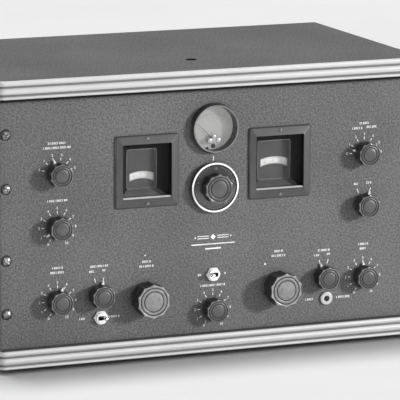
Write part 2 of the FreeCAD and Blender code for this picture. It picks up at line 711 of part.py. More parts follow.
def make_controls():
    """Potentiometers and rotary switches behind the nine small knobs."""
    controls = []
    for index, (_, column, side, height) in enumerate(SMALL_KNOBS):
        radius, length = (14, 13) if index % 2 else (16, 16)
        control = bushed_control(radius, length)
        control.translate(FreeCAD.Vector(side * num(column), panel_plane(), panel_foot() + height))
        controls.append(control)
    for side in (-1, 1):
        bearing = bushed_control(7, 3)
        bearing.translate(FreeCAD.Vector(side * num("column_dial"), panel_plane(),
                                         panel_foot() + num("shaft_row")))
        controls.append(bearing)
    solid_node(controls, "panel_controls")


def make_band_switch_body():
    control = bushed_control(20, 18)
    solid_node(control, "band_switch_body", 0, panel_plane(), panel_foot() + ROWS["band"])


# ---------------------------------------------------------------- toggles and jack

def toggle_places():
    return [(side * num(column), height) for column, side, height in TOGGLES]


def make_toggle_bodies():
    """Switch boxes behind the panel with hollow threaded necks."""
    along = FreeCAD.Vector(0, 1, 0)
    gauge = num("panel_gauge")
    bodies = []
    neck_proud = 5
    for x, height in toggle_places():
        case = Part.makeBox(28, 20, 16, FreeCAD.Vector(-14, gauge, -8))
        neck = Part.makeCylinder(num("neck_radius"), gauge + neck_proud,
                                 FreeCAD.Vector(0, -neck_proud, 0), along)
        well = Part.makeCone(num("well_radius"), 2.6, gauge + neck_proud + 2,
                             FreeCAD.Vector(0, -neck_proud - 0.01, 0), along)
        pocket = Part.makeSphere(5, FreeCAD.Vector(0, num("lever_pivot"), 0))
        body = case.fuse(neck).cut(well.fuse(pocket))
        body.translate(FreeCAD.Vector(x, panel_plane(), panel_foot() + height))
        bodies.append(body)
    solid_node(bodies, "toggle_bodies")


def make_toggle_nuts():
    nuts = []
    for x, height in toggle_places():
        nut = hexagon(num("nut_flats"), num("nut_gauge"))
        nut = nut.cut(Part.makeCylinder(num("neck_radius"), 10, FreeCAD.Vector(0, -5, 0),
                                        FreeCAD.Vector(0, 1, 0)))
        nut.translate(FreeCAD.Vector(x, panel_plane() - num("nut_gauge"), panel_foot() + height))
        nuts.append(nut)
    solid_node(nuts, "toggle_nuts")


def make_lever(name, index, side):
    """Bat lever on its ball, leaning to one side of the switch."""
    x, height = toggle_places()[index]
    back = FreeCAD.Vector(0, -1, 0)
    ball = Part.makeSphere(3, FreeCAD.Vector())
    stem = Part.makeCone(num("lever_root"), num("lever_tip"), num("lever_length"), FreeCAD.Vector(), back)
    tip = Part.makeSphere(num("lever_tip"), FreeCAD.Vector(0, -num("lever_length"), 0))
    lever = ball.multiFuse([stem, tip])
    lever.rotate(FreeCAD.Vector(), FreeCAD.Vector(0, 0, 1), num("lever_lean") * side)
    solid_node(lever, name, x, panel_plane() + num("lever_pivot"), panel_foot() + height)


def make_jack():
    """Telephone jack: round nut and neck in front, contact frame behind."""
    along = FreeCAD.Vector(0, 1, 0)
    gauge = num("panel_gauge")
    nut_gauge = num("jack_nut_gauge")
    nut = Part.makeCylinder(num("jack_nut_radius"), nut_gauge, FreeCAD.Vector(0, -nut_gauge, 0), along)
    nut = nut.makeFillet(0.8, [edge for edge in nut.Edges if edge.BoundBox.YMax < 0.1 - nut_gauge])
    neck = Part.makeCylinder(num("neck_radius"), gauge + 3, FreeCAD.Vector(0, -3, 0), along)
    block = Part.makeBox(18, num("jack_depth"), 14, FreeCAD.Vector(-9, gauge, -7))
    hole = Part.makeCylinder(num("plug_radius"), gauge + num("jack_depth"), FreeCAD.Vector(0, -3, 0), along)
    column, side, height = JACK
    solid_node(nut.multiFuse([neck, block]).cut(hole), "phone_jack",
               side * num(column), panel_plane(), panel_foot() + height)


# ---------------------------------------------------------------- chassis and works

def make_chassis():
    """Chassis of plates joined at their edges, open underneath, with a gusset to the panel at each side."""
    gauge, gusset_height = 1.6, 60
    top = "foot_height + chassis_deck"
    length = "(cabinet_depth - panel_setback - chassis_setback - 6)"
    foot, skirt = "foot_height + chassis_floor", "chassis_deck - chassis_floor - %s" % gauge
    plates = [box("chassis_width", length, gauge, "0", behind("chassis_setback"), "%s - %s" % (top, gauge))]
    for start in ("chassis_setback", "chassis_setback + %s - %s" % (length, gauge)):
        plates.append(box("chassis_width", gauge, skirt, "0", behind(start), foot))
    for side in (-1, 1):
        x = side_x("chassis_width / 2 - %s / 2" % gauge, side)
        plates.append(box(gauge, "%s - 2 * %s" % (length, gauge), skirt, x,
                          behind("chassis_setback + %s" % gauge), foot))
        plates.append(box(gauge, "chassis_setback - panel_gauge", gusset_height, x,
                          behind("panel_gauge"), "%s - 6 - %s" % (top, gusset_height)))
    compound = doc.addObject("Part::Compound", "chassis")
    compound.Links = plates
    node(compound, "chassis")


def deck():
    return num("foot_height") + num("chassis_deck")


def make_gang(prefix, side):
    """Tuning condenser: open frame with three banks of fixed plates."""
    width, length = num("gang_width"), num("gang_length")
    axis_z = panel_foot() + num("dial_row")
    base = deck()
    height = axis_z + 36 - base
    x = side * num("column_dial")
    y = panel_plane() + num("chassis_setback") + 4
    parts = [Part.makeBox(width, length, 3, FreeCAD.Vector(x - width / 2, y, base))]
    along = FreeCAD.Vector(0, 1, 0)
    shaft_hole = Part.makeCylinder(num("shaft_radius") + num("running_gap"), length + 2,
                                   FreeCAD.Vector(x, y - 1, axis_z), along)
    wall_gauge, plate = num("gang_wall"), num("plate_gauge")
    bay = (length - wall_gauge) / 3
    for index in range(4):
        wall = Part.makeBox(width, wall_gauge, height, FreeCAD.Vector(x - width / 2, y + index * bay, base))
        parts.append(wall.cut(shaft_hole))
    plates = []
    for bank in range(3):
        first = y + bank * bay + num("plate_pitch")
        for index in range(5):
            level = first + index * num("plate_pitch")
            root = Part.makeBox(7, plate, 56, FreeCAD.Vector(x + side * 33 - 3.5, level, axis_z - 28))
            inner = x + (7 if side > 0 else -34)
            blade = Part.makeBox(27, plate, 50, FreeCAD.Vector(inner, level, axis_z - 25))
            plates.append(root.fuse(blade))
        bar = Part.makeBox(4, 30, 4, FreeCAD.Vector(x + side * 34 - 2, first - 2, axis_z - 2))
        plates.append(bar)
        post = Part.makeBox(6, 6, axis_z - 20 - base, FreeCAD.Vector(x + side * 33 - 3, first + 10, base))
        plates.append(post)
    solid_node(parts[0].multiFuse(parts[1:] + plates), prefix + "_gang_frame")


def make_rotor(prefix, side, drum):
    """Dial shaft with its drive drum and the moving plates of the condenser."""
    x = side * num("column_dial")
    axis_z = panel_foot() + num("dial_row")
    start = panel_plane() + num("dial_setback") - 0.6
    y = panel_plane() + num("chassis_setback") + 4
    along = FreeCAD.Vector(0, 1, 0)
    length = y + num("gang_length") + 4 - start
    shaft = Part.makeCylinder(num("shaft_radius"), length, FreeCAD.Vector(x, start, axis_z), along)
    drum_y = panel_plane() + num("drum_setback")
    rim = Part.makeCylinder(drum + 1.5, 5, FreeCAD.Vector(x, drum_y, axis_z), along)
    groove = Part.makeCylinder(drum + 3, 2.4, FreeCAD.Vector(x, drum_y + 1.3, axis_z), along)
    groove = groove.cut(Part.makeCylinder(drum, 2.4, FreeCAD.Vector(x, drum_y + 1.3, axis_z), along))
    parts = [rim.cut(groove)]
    pitch = num("plate_pitch")
    for bank in range(3):
        first = y + bank * (num("gang_length") - num("gang_wall")) / 3 + 1.5 * pitch
        for index in range(4):
            level = first + index * pitch
            disc = Part.makeCylinder(num("rotor_radius"), num("plate_gauge"),
                                     FreeCAD.Vector(x, level, axis_z), along)
            lower = Part.makeBox(80, 2, 40, FreeCAD.Vector(x - 40, level - 0.5, axis_z - 40))
            parts.append(disc.common(lower))
        parts.append(Part.makeCylinder(5.5, 24, FreeCAD.Vector(x, first - 2, axis_z), along))
    solid_node(shaft.multiFuse(parts), prefix + "_gang_rotor")


def drive_loop(x, drum):
    """Cord round the drum and the pulley below it."""
    upper = FreeCAD.Vector(x, 0, panel_foot() + num("dial_row"))
    lower = FreeCAD.Vector(x, 0, panel_foot() + num("shaft_row"))
    cord = 0.6
    big, small = drum + cord + 0.35, num("pulley") + cord + 0.35
    lean = math.asin((big - small) / (upper.z - lower.z))
    y = panel_plane() + num("drum_setback") + 2.5

    def point(centre, radius, angle):
        return FreeCAD.Vector(centre.x + radius * math.cos(angle), y, centre.z + radius * math.sin(angle))
    right, left = -lean, math.pi + lean
    over = Part.Arc(point(upper, big, right), point(upper, big, math.pi / 2), point(upper, big, left))
    under = Part.Arc(point(lower, small, left), point(lower, small, -math.pi / 2), point(lower, small, right))
    down = Part.LineSegment(point(upper, big, left), point(lower, small, left))
    up = Part.LineSegment(point(lower, small, right), point(upper, big, right))
    path = Part.Wire([over.toShape(), down.toShape(), under.toShape(), up.toShape()])
    section = Part.Wire(Part.makeCircle(cord, point(upper, big, right),
                                        FreeCAD.Vector(-math.sin(right), 0, math.cos(right))))
    return path.makePipeShell([section], True, True)


def make_drive_cords():
    column = num("column_dial")
    solid_node([drive_loop(-column, num("main_drum")), drive_loop(column, num("spread_drum"))], "drive_cords")


def make_coil_box():
    """Screened coil compartment down the middle of the chassis."""
    lid = box(62, 150, 74, "0", behind("chassis_setback + 6"), "foot_height + chassis_deck")
    ledge = box(66, 154, 3, "0", behind("chassis_setback + 4"), "foot_height + chassis_deck + 74")
    node(fused([lid, ledge], "coil_box"), "coil_box")


def make_valve():
    """Valve with its base, envelope and top cap, standing on z = 0."""
    up = FreeCAD.Vector(0, 0, 1)
    socket = Part.makeCylinder(17, 3, FreeCAD.Vector(), up)
    base = Part.makeCylinder(14, 16, FreeCAD.Vector(0, 0, 3), up)
    lower = Part.makeCone(13, 18, 14, FreeCAD.Vector(0, 0, 19), up)
    bulb = Part.makeCylinder(18, 22, FreeCAD.Vector(0, 0, 33), up)
    shoulder = Part.makeCone(18, 10, 14, FreeCAD.Vector(0, 0, 55), up)
    crown = Part.makeCone(10, 6, 5, FreeCAD.Vector(0, 0, 69), up)
    return socket.multiFuse([base, lower, bulb, shoulder, crown])


def deck_places(column):
    """Four places in a row on each side of the deck."""
    start = panel_plane() + num("chassis_setback") + num("first_valve")
    return [FreeCAD.Vector(side * num(column), start + index * num("valve_pitch"), deck())
            for side in (-1, 1) for index in range(4)]


def make_valves():
    """Row of valves along each side of the chassis."""
    valves = []
    for place in deck_places("valve_column"):
        valve = make_valve()
        valve.translate(place)
        valves.append(valve)
    solid_node(valves, "valves")


def make_cans():
    """Square screening cans of the intermediate-frequency transformers."""
    cans = []
    width, height = num("can_side"), num("can_height")
    for place in deck_places("can_column"):
        can = Part.makeBox(width, width, height, FreeCAD.Vector(-width / 2, -width / 2, 0))
        can = can.makeFillet(4, [edge for edge in can.Edges if edge.BoundBox.ZLength > height / 2])
        can = can.fuse(Part.makeCylinder(3, 2, FreeCAD.Vector(0, 0, height)))
        can.translate(place)
        cans.append(can)
    solid_node(cans, "if_cans")


def make_transformer():
    """Output transformer: laminated core with a winding cover on each side."""
    y = back_plane() - 46
    core = Part.makeBox(22, 56, 60, FreeCAD.Vector(-11, -28, 0))
    bell = Part.makeBox(50, 38, 42, FreeCAD.Vector(-25, -19, 9))
    bell = bell.makeFillet(8, [edge for edge in bell.Edges if edge.BoundBox.ZLength > 40])
    core = core.fuse(bell)
    core.translate(FreeCAD.Vector(-78, y, deck()))
    solid_node(core, "output_transformer")


def make_terminals():
    """Screw terminal strip on the chassis apron, reaching out through the rear cover."""
    y = back_plane() - 6
    axis_z = num("foot_height") + num("socket_row")
    strip = Part.makeBox(150, 10, 22, FreeCAD.Vector(-120, y, axis_z - 11))
    posts = []
    for index in range(8):
        place = FreeCAD.Vector(-111 + index * 18.5, y + 10, axis_z)
        posts.append(Part.makeCylinder(4, 6, place, FreeCAD.Vector(0, 1, 0)))
    solid_node(strip.multiFuse(posts), "rear_terminals")


def make_power_socket():
    """Round multi-pin supply socket on the chassis apron."""
    y = back_plane() - 6
    place = FreeCAD.Vector(100, y, num("foot_height") + num("socket_row"))
    along = FreeCAD.Vector(0, 1, 0)
    flange = Part.makeBox(46, 2, 34, place - FreeCAD.Vector(23, 0, 17))
    drum = Part.makeCylinder(15, 10, place, along)
    socket = flange.fuse(drum)
    for index in range(8):
        angle = math.radians(45 * index)
        mouth = place + FreeCAD.Vector(9 * math.cos(angle), 3, 9 * math.sin(angle))
        socket = socket.cut(Part.makeCylinder(1.6, 8, mouth, along))
    solid_node(socket, "power_socket")


# ---------------------------------------------------------------- build and write

def build():
    make_shell()
    make_rear_cover()
    make_feet()
    make_trim("lower_trim", num("foot_height"))
    make_trim("upper_trim", panel_foot() + num("panel_height"))
    make_lid()
    make_finger_pull()
    make_hinge()
    make_panel()
    make_rack_screws()
    make_escutcheon("left_escutcheon", -1)
    make_escutcheon("right_escutcheon", 1)
    make_escutcheon_screws()
    make_window_glass("left_window_glass", -1)
    make_window_glass("right_window_glass", 1)
    make_dial_mask("left_dial_mask", -1, "main_dial_radius", "main")
    make_dial_mask("right_dial_mask", 1, "spread_dial_radius", "spread")
    make_dial("main_dial", -1, "main_dial_radius")
    make_dial("bandspread_dial", 1, "spread_dial_radius")
    make_meter_case()
    make_meter_face()
    make_meter_glass()
    make_needle()
    for name, column, side, height in SMALL_KNOBS:
        make_small_knob(name, column, side, height)
    make_large_knob("main_tuning_knob", -1)
    make_large_knob("bandspread_knob", 1)
    make_tuning_shaft("main_tuning_shaft", -1)
    make_tuning_shaft("bandspread_shaft", 1)
    make_band_switch()
    make_controls()
    make_band_switch_body()
    make_toggle_bodies()
    make_toggle_nuts()
    make_lever("left_toggle_lever", 0, 1)
    make_lever("centre_toggle_lever", 1, -1)
    make_jack()
    make_chassis()
    make_gang("main", -1)
    make_gang("bandspread", 1)
    make_rotor("main", -1, num("main_drum"))
    make_rotor("bandspread", 1, num("spread_drum"))
    make_drive_cords()
    make_coil_box()
    make_valves()
    make_cans()
    make_transformer()
    make_terminals()
    make_power_socket()


def check_and_write():
    doc.recompute()
    for obj in doc.Objects:
        if "Invalid" in obj.State or "Error" in obj.State:
            raise RuntimeError("%s (%s) did not recompute: %s" % (obj.Name, obj.Label, obj.State))
    os.makedirs("parts", exist_ok=True)
    for obj in nodes:
        shape = obj.Shape
        if shape.isNull() or not shape.isValid() or not shape.Solids:
            raise RuntimeError("%s has no valid solid" % obj.Label)
        shape.exportStep(os.path.join("parts", obj.Label + ".step"))
    print("%d sub-parts written" % len(nodes))


build()
check_and_write()
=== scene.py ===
"""Looks of a table-cabinet communications receiver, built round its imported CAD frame.

CAD boxes are in metres. Shapes, profiles and panel places are in millimetres. Angles are in
degrees, clockwise from upright as the user sees the panel.
"""
import json
import math
import bpy
from mathutils import Matrix, Vector


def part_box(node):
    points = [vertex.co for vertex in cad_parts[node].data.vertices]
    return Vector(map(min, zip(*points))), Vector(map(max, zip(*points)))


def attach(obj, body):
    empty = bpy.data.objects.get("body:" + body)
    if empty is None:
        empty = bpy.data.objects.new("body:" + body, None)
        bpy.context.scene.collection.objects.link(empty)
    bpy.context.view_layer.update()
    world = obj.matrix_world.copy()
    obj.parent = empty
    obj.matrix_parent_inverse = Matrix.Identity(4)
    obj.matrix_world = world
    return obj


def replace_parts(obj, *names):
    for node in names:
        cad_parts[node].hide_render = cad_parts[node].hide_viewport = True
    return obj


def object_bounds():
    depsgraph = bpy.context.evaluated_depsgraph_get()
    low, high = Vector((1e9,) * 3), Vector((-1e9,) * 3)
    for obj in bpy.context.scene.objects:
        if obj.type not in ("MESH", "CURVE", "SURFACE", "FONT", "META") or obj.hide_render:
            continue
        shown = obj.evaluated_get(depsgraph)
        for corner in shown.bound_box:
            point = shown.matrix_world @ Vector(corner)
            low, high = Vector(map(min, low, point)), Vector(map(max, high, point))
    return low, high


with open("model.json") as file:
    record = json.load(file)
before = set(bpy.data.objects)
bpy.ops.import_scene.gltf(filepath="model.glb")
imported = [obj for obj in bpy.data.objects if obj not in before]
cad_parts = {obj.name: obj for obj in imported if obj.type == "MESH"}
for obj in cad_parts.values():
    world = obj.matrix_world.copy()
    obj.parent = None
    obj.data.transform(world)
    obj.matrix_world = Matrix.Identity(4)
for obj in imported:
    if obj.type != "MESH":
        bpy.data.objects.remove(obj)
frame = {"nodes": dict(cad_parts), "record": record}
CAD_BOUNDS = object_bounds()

MM = 0.001


# ---- places, all read from the frame

def corners(node):
    """Lower and upper corner of a CAD node's box, in metres."""
    low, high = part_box(node)
    return Vector(low), Vector(high)


def corners_mm(node):
    low, high = corners(node)
    return low / MM, high / MM


def centre(node):
    low, high = corners(node)
    return (low + high) / 2


def spaced(low, high, margin, count):
    """Even places from a margin inside one end to a margin inside the other."""
    step = (high - low - 2 * margin) / (count - 1)
    return [low + margin + step * i for i in range(count)]


PANEL_LOW, PANEL_HIGH = corners("front_panel")
FACE = PANEL_LOW.y            # front surface of the panel
FOOT = PANEL_LOW.z            # its lower edge
FLOOR = CAD_BOUNDS[0][2]
NUT_RADIUS = 8.2              # round a switch nut's corners, mm
LEFT_TOGGLE_X = corners("toggle_nuts")[0].x / MM + NUT_RADIUS


def local(node):
    """Millimetre x and z of a control's axis from the panel's middle and lower edge."""
    spot = centre(node)
    return spot.x / MM, (spot.z - FOOT) / MM


def turned(x, z, angle):
    """An x, z place turned clockwise about the origin."""
    c, s = math.cos(math.radians(angle)), math.sin(math.radians(angle))
    return x * c + z * s, z * c - x * s


# Small knobs: pointer angle at rest and the angles of its panel marks.
POT_MARKS = range(-150, 151, 30)
SMALL_KNOBS = {
    "selectivity": (-15, range(-75, 76, 30)),
    "phasing": (-125, POT_MARKS),
    "bandwidth": (20, POT_MARKS),
    "limiter": (16, (-16, 16)),
    "sensitivity": (135, POT_MARKS),
    "avc": (-16, (-16, 16)),
    "audio_gain": (0, POT_MARKS),
    "mode": (25, (-25, 25)),
    "beat": (-75, range(-90, 91, 30)),
}


# ---- node materials

def new_material(name):
    material = bpy.data.materials.new(name)
    material.use_nodes = True
    return material


def dress(material, **inputs):
    """Set the shader's inputs, named with _ for a space; a node's output is joined instead."""
    shader = material.node_tree.nodes["Principled BSDF"]
    for name, value in inputs.items():
        socket = shader.inputs[name.replace("_", " ")]
        if isinstance(value, bpy.types.NodeSocket):
            material.node_tree.links.new(value, socket)
        else:
            socket.default_value = value
    return material


def noise(material, scale, detail=3.0, roughness=0.55, distortion=0.0, stretch=None, kind="FBM"):
    """Noise in object coordinates; stretch squeezes the pattern along X, Y and Z."""
    nodes, links = material.node_tree.nodes, material.node_tree.links
    coordinates = nodes.new("ShaderNodeTexCoord")
    texture = nodes.new("ShaderNodeTexNoise")
    texture.noise_type = kind
    texture.inputs["Scale"].default_value = scale
    texture.inputs["Detail"].default_value = detail
    texture.inputs["Roughness"].default_value = roughness
    texture.inputs["Distortion"].default_value = distortion
    source = coordinates.outputs["Object"]
    if stretch:
        mapping = nodes.new("ShaderNodeMapping")
        mapping.inputs["Scale"].default_value = stretch
        links.new(source, mapping.inputs["Vector"])
        source = mapping.outputs["Vector"]
    links.new(source, texture.inputs["Vector"])
    return texture.outputs["Fac"]


def ramp(material, value, stops):
    """Run a value through (place, colour or level) stops."""
    node = material.node_tree.nodes.new("ShaderNodeValToRGB")
    elements = node.color_ramp.elements
    while len(elements) < len(stops):
        elements.new(0.5)
    for element, (place, colour) in zip(elements, stops):
        element.position = place
        element.color = (*(colour if isinstance(colour, tuple) else grey(colour)), 1.0)
    material.node_tree.links.new(value, node.inputs["Fac"])
    return node.outputs["Color"]


def blend(material, value, first, second, start=0.3, stop=0.7):
    """Pass between two colours or levels as a value rises from start to stop."""
    return ramp(material, value, [(start, first), (stop, second)])


def math_node(material, kind, first, second):
    node = material.node_tree.nodes.new("ShaderNodeMath")
    node.operation = kind
    for socket, value in zip(node.inputs, (first, second)):
        if isinstance(value, (int, float)):
            socket.default_value = value
        else:
            material.node_tree.links.new(value, socket)
    return node.outputs["Value"]


def shared(material, first, second, share):
    """Sum of two values, weighted with the share and with the rest."""
    return math_node(material, "ADD", math_node(material, "MULTIPLY", first, share),
                     math_node(material, "MULTIPLY", second, 1 - share))


def bump(material, height, strength, distance, below=None):
    node = material.node_tree.nodes.new("ShaderNodeBump")
    node.inputs["Strength"].default_value = strength
    node.inputs["Distance"].default_value = distance
    material.node_tree.links.new(height, node.inputs["Height"])
    if below:
        material.node_tree.links.new(below, node.inputs["Normal"])
    return node.outputs["Normal"]


def grey(level, warmth=0.0):
    return level * (1 + warmth), level, level * (1 - warmth)


def wrinkle_paint(name, level, scale, depth):
    """Baked wrinkle enamel: raised veins under a fine mottle of darker and lighter spots."""
    rough = 0.48
    material = new_material(name)
    veins = noise(material, scale, 1.6, 0.5, 0.9, None, "RIDGED_MULTIFRACTAL")
    grain = noise(material, scale * 3.0, 2.0)
    patches = noise(material, 7.0, 4.0)
    speckle = noise(material, scale * 0.9, 3.0, 0.7, 0.3)
    colour = ramp(material, shared(material, patches, speckle, 0.2),
                  [(0.38, grey(level * 0.42)), (0.5, grey(level)), (0.62, grey(level * 1.65))])
    fine = bump(material, grain, 0.3, depth * 0.3)
    return dress(material, Base_Color=colour,
                 Roughness=blend(material, speckle, rough + 0.16, rough - 0.06),
                 Normal=bump(material, veins, 0.7, depth, fine))


def smooth_paint(name, level, rough):
    """Sprayed enamel with a slight cloud and orange peel."""
    material = new_material(name)
    cloud = noise(material, 60.0, 4.0)
    peel = noise(material, 700.0, 2.0)
    return dress(material, Base_Color=blend(material, cloud, grey(level * 0.82), grey(level * 1.2)),
                 Roughness=blend(material, cloud, rough + 0.08, rough - 0.05),
                 Normal=bump(material, peel, 0.25, 0.00006))


def metal(name, level, rough, brushed=None, warmth=0.0):
    """Plated or drawn metal; brushed squeezes the grain so that it runs along one direction."""
    wear = 0.12
    material = new_material(name)
    cloud = noise(material, 45.0, 5.0, 0.6)
    grain = noise(material, 900.0, 3.0, 0.6, 0.0, brushed)
    worn, clean = level * (1 - wear), min(level * (1 + wear * 0.4), 1.0)
    colour = blend(material, cloud, grey(worn, warmth), grey(clean, warmth), 0.32, 0.62)
    streak = shared(material, grain, cloud, 0.5)
    return dress(material, Metallic=1.0, Base_Color=colour,
                 Roughness=blend(material, streak, rough * 1.35, rough * 0.75),
                 Normal=bump(material, grain, 0.2, 0.00003))


def metal_paint(name, level, rough):
    """Plating that still scatters some light, so that it looks even from every side."""
    material = new_material(name)
    cloud = noise(material, 60.0, 4.0)
    return dress(material, Metallic=0.45,
                 Base_Color=blend(material, cloud, grey(level * 0.92), grey(level)),
                 Roughness=blend(material, cloud, rough * 1.2, rough * 0.8),
                 Normal=bump(material, noise(material, 900.0, 2.0), 0.2, 0.00003))


def moulded(name, level, rough, grain=1300.0, warmth=0.0, spec=0.5):
    """Moulded phenolic, rubber or felt with faint flow marks and a fine skin."""
    material = new_material(name)
    flow = noise(material, 130.0, 4.0, 0.6, 1.2)
    skin = noise(material, grain, 2.0)
    colour = blend(material, flow, grey(level * 0.75, warmth), grey(level * 1.3, warmth))
    return dress(material, Base_Color=colour, Specular_IOR_Level=spec,
                 Roughness=blend(material, skin, rough + 0.1, rough - 0.07),
                 Normal=bump(material, skin, 0.3, 0.00004))


def glass(name, alpha, tint, rough, spec):
    """Clear sheet or bulb with smears that dull it in places."""
    material = new_material(name)
    smear = noise(material, 30.0, 4.0)
    return dress(material, Base_Color=(*tint, 1.0), Alpha=alpha, Specular_IOR_Level=spec,
                 Roughness=blend(material, smear, rough, rough * 2.5, 0.35, 0.75))


def glowing(name, level, strength):
    """Pale scale that glows: painted light in place of a lamp behind it."""
    material = new_material(name)
    cloud = noise(material, 90.0, 4.0)
    colour = blend(material, cloud, grey(level * 0.9, 0.01), grey(level, 0.01))
    return dress(material, Base_Color=colour, Emission_Color=colour, Emission_Strength=strength,
                 Roughness=0.4)


GROOVES = ((3.15, 5.5), (11.9, 14.25))      # from a moulding's lower edge, mm


def ribbed_trim(name, dull, bright, groove):
    """Satin aluminium ribs, coloured darker down in the two grooves between them."""
    material = new_material(name)
    nodes, links = material.node_tree.nodes, material.node_tree.links
    cloud = noise(material, 14.0, 4.0, 0.6)
    grain = noise(material, 260.0, 4.0, 0.6, 0.0, (0.05, 0.05, 4.0))
    coordinates = nodes.new("ShaderNodeTexCoord")
    parts = nodes.new("ShaderNodeSeparateXYZ")
    links.new(coordinates.outputs["Object"], parts.inputs["Vector"])
    height = parts.outputs["Z"]
    dark = None
    for node in ("upper_trim", "lower_trim"):
        bottom = corners(node)[0].z
        for low, high in GROOVES:
            above = math_node(material, "GREATER_THAN", height, bottom + low * MM)
            under = math_node(material, "LESS_THAN", height, bottom + high * MM)
            band = math_node(material, "MULTIPLY", above, under)
            dark = band if dark is None else math_node(material, "ADD", dark, band)
    mixer = nodes.new("ShaderNodeMix")
    mixer.data_type = "RGBA"
    links.new(dark, mixer.inputs["Factor"])
    links.new(blend(material, cloud, dull, bright), mixer.inputs["A"])
    mixer.inputs["B"].default_value = (*grey(groove), 1.0)
    rough = math_node(material, "ADD", blend(material, grain, 0.46, 0.36),
                      math_node(material, "MULTIPLY", dark, 0.35))
    return dress(material, Base_Color=mixer.outputs["Result"], Metallic=0.12, Roughness=rough,
                 Normal=bump(material, grain, 0.25, 0.00004))


FINISHES = {
    "cabinet_paint": (wrinkle_paint, dict(level=0.095, scale=600.0, depth=0.0002)),
    "panel_paint": (wrinkle_paint, dict(level=0.075, scale=560.0, depth=0.00025)),
    "trim_metal": (ribbed_trim, dict(dull=0.47, bright=0.52, groove=0.13)),
    "knob_plastic": (moulded, dict(level=0.022, rough=0.34)),
    "skirt_plastic": (moulded, dict(level=0.028, rough=0.2)),
    "bright_plate": (metal, dict(level=0.95, rough=0.2)),
    "nickel": (metal, dict(level=0.75, rough=0.28, warmth=0.01)),
    "frame_paint": (smooth_paint, dict(level=0.045, rough=0.34)),
    "mask_paint": (smooth_paint, dict(level=0.03, rough=0.45)),
    # The dial scales glow: painted light, with no lamp behind them.
    "dial_scale": (glowing, dict(level=0.54, strength=0.22)),
    "window_glass": (glass, dict(alpha=0.012, tint=(0.3, 0.31, 0.31), rough=0.06, spec=0.06)),
    "meter_body": (moulded, dict(level=0.03, rough=0.28)),
    # The meter card glows: painted light that also washes out the bezel's shadow on it.
    "meter_card": (glowing, dict(level=0.18, strength=0.95)),
    "needle_paint": (smooth_paint, dict(level=0.15, rough=0.45)),
    "chassis_plate": (metal, dict(level=0.55, rough=0.38, brushed=(1.0, 0.06, 1.0))),
    "can_metal": (metal, dict(level=0.72, rough=0.3, brushed=(1.0, 1.0, 0.05))),
    "valve_glass": (glass, dict(alpha=0.28, tint=(0.55, 0.6, 0.6), rough=0.03, spec=0.9)),
    "condenser_metal": (metal, dict(level=0.7, rough=0.32)),
    "black_phenolic": (moulded, dict(level=0.03, rough=0.34)),
    "transformer_paint": (smooth_paint, dict(level=0.03, rough=0.3)),
    "cord_braid": (moulded, dict(level=0.16, rough=0.75, grain=2600.0, warmth=0.08)),
    "foot_rubber": (moulded, dict(level=0.025, rough=0.7, grain=1800.0)),
    # finishes of the added pieces and of single nodes
    "white_fill": (smooth_paint, dict(level=0.75, rough=0.6)),
    "black_fill": (smooth_paint, dict(level=0.012, rough=0.6)),
    # Grey of the lower strip: a painted shade line above the lower moulding.
    "felt_grey": (moulded, dict(level=0.06, rough=0.8, grain=2200.0)),
    "faint_ink": (smooth_paint, dict(level=0.2, rough=0.6)),
    "hot_metal": (metal, dict(level=0.28, rough=0.42)),
    "dark_steel": (metal, dict(level=0.25, rough=0.22)),
    # The knob faces are painted lighter than the knob mouldings: the sides and the face grooves stay
    # dark as painted shade, and the large faces are lighter still as painted sheen on their domes.
    "knob_face": (moulded, dict(level=0.05, rough=0.36)),
    "large_knob_face": (moulded, dict(level=0.165, rough=0.3)),
    # The knob rims are painted lighter still: painted highlights along the faces' edges.
    "knob_rim": (moulded, dict(level=0.085, rough=0.22, spec=0.8)),
    "large_knob_rim": (moulded, dict(level=0.2, rough=0.25, spec=0.7)),
    "dull_screw": (metal_paint, dict(level=0.16, rough=0.35)),
    "bridge_bright": (metal_paint, dict(level=0.42, rough=0.3)),
    # Darker plating of the phone jack: painted shade from the knob above it.
    "dull_plate": (metal_paint, dict(level=0.5, rough=0.35)),
    # White of the band ring's crown: a painted highlight on its plating.
    "ring_enamel": (smooth_paint, dict(level=0.86, rough=0.22)),
    "nut_plate": (metal_paint, dict(level=0.72, rough=0.3)),
    # Lighter crown of the meter bezel: a painted highlight on its rim.
    "crown_gloss": (moulded, dict(level=0.17, rough=0.22)),
    # The apron under each slot is painted lighter than the black hood as painted light.
    "apron_paint": (smooth_paint, dict(level=0.085, rough=0.35)),
    "meter_hub_paint": (smooth_paint, dict(level=0.3, rough=0.35)),
    # The sill in each window opening is painted light as a painted highlight.
    "edge_bead": (smooth_paint, dict(level=0.42, rough=0.3)),
    # Near-black used as painted shade: window walls, mask hoods, the lid pull's well and the strip
    # under the upper moulding.
    "lining_black": (moulded, dict(level=0.008, rough=0.7, spec=0.08)),
    # The bead round each mask's flat is painted light as a painted highlight on its edges.
    "hood_paint": (smooth_paint, dict(level=0.16, rough=0.3)),
}
MATERIALS = {name: maker(name, **settings) for name, (maker, settings) in FINISHES.items()}

# CAD nodes whose finish differs from the rest of their slot.
SPECIAL_FINISH = {
    "rack_screws": "dark_steel", "hinge_pin": "dark_steel",
    "hinge_leaf_fixed": "cabinet_paint", "hinge_leaf_moving": "cabinet_paint",
    # The phone jack's darker plating is painted shade from the knob above it.
    "phone_jack": "dull_plate", "escutcheon_screws": "dull_screw",
}


def dress_cad_nodes():
    """Give every CAD node the material of its slot, or its own."""
    slots = {row["node"]: row["material_slot"] for row in frame["record"]["subparts"]}
    for name, obj in frame["nodes"].items():
        obj.data.materials.clear()
        obj.data.materials.append(MATERIALS[SPECIAL_FINISH.get(name, slots[name])])


# ---- mesh tools

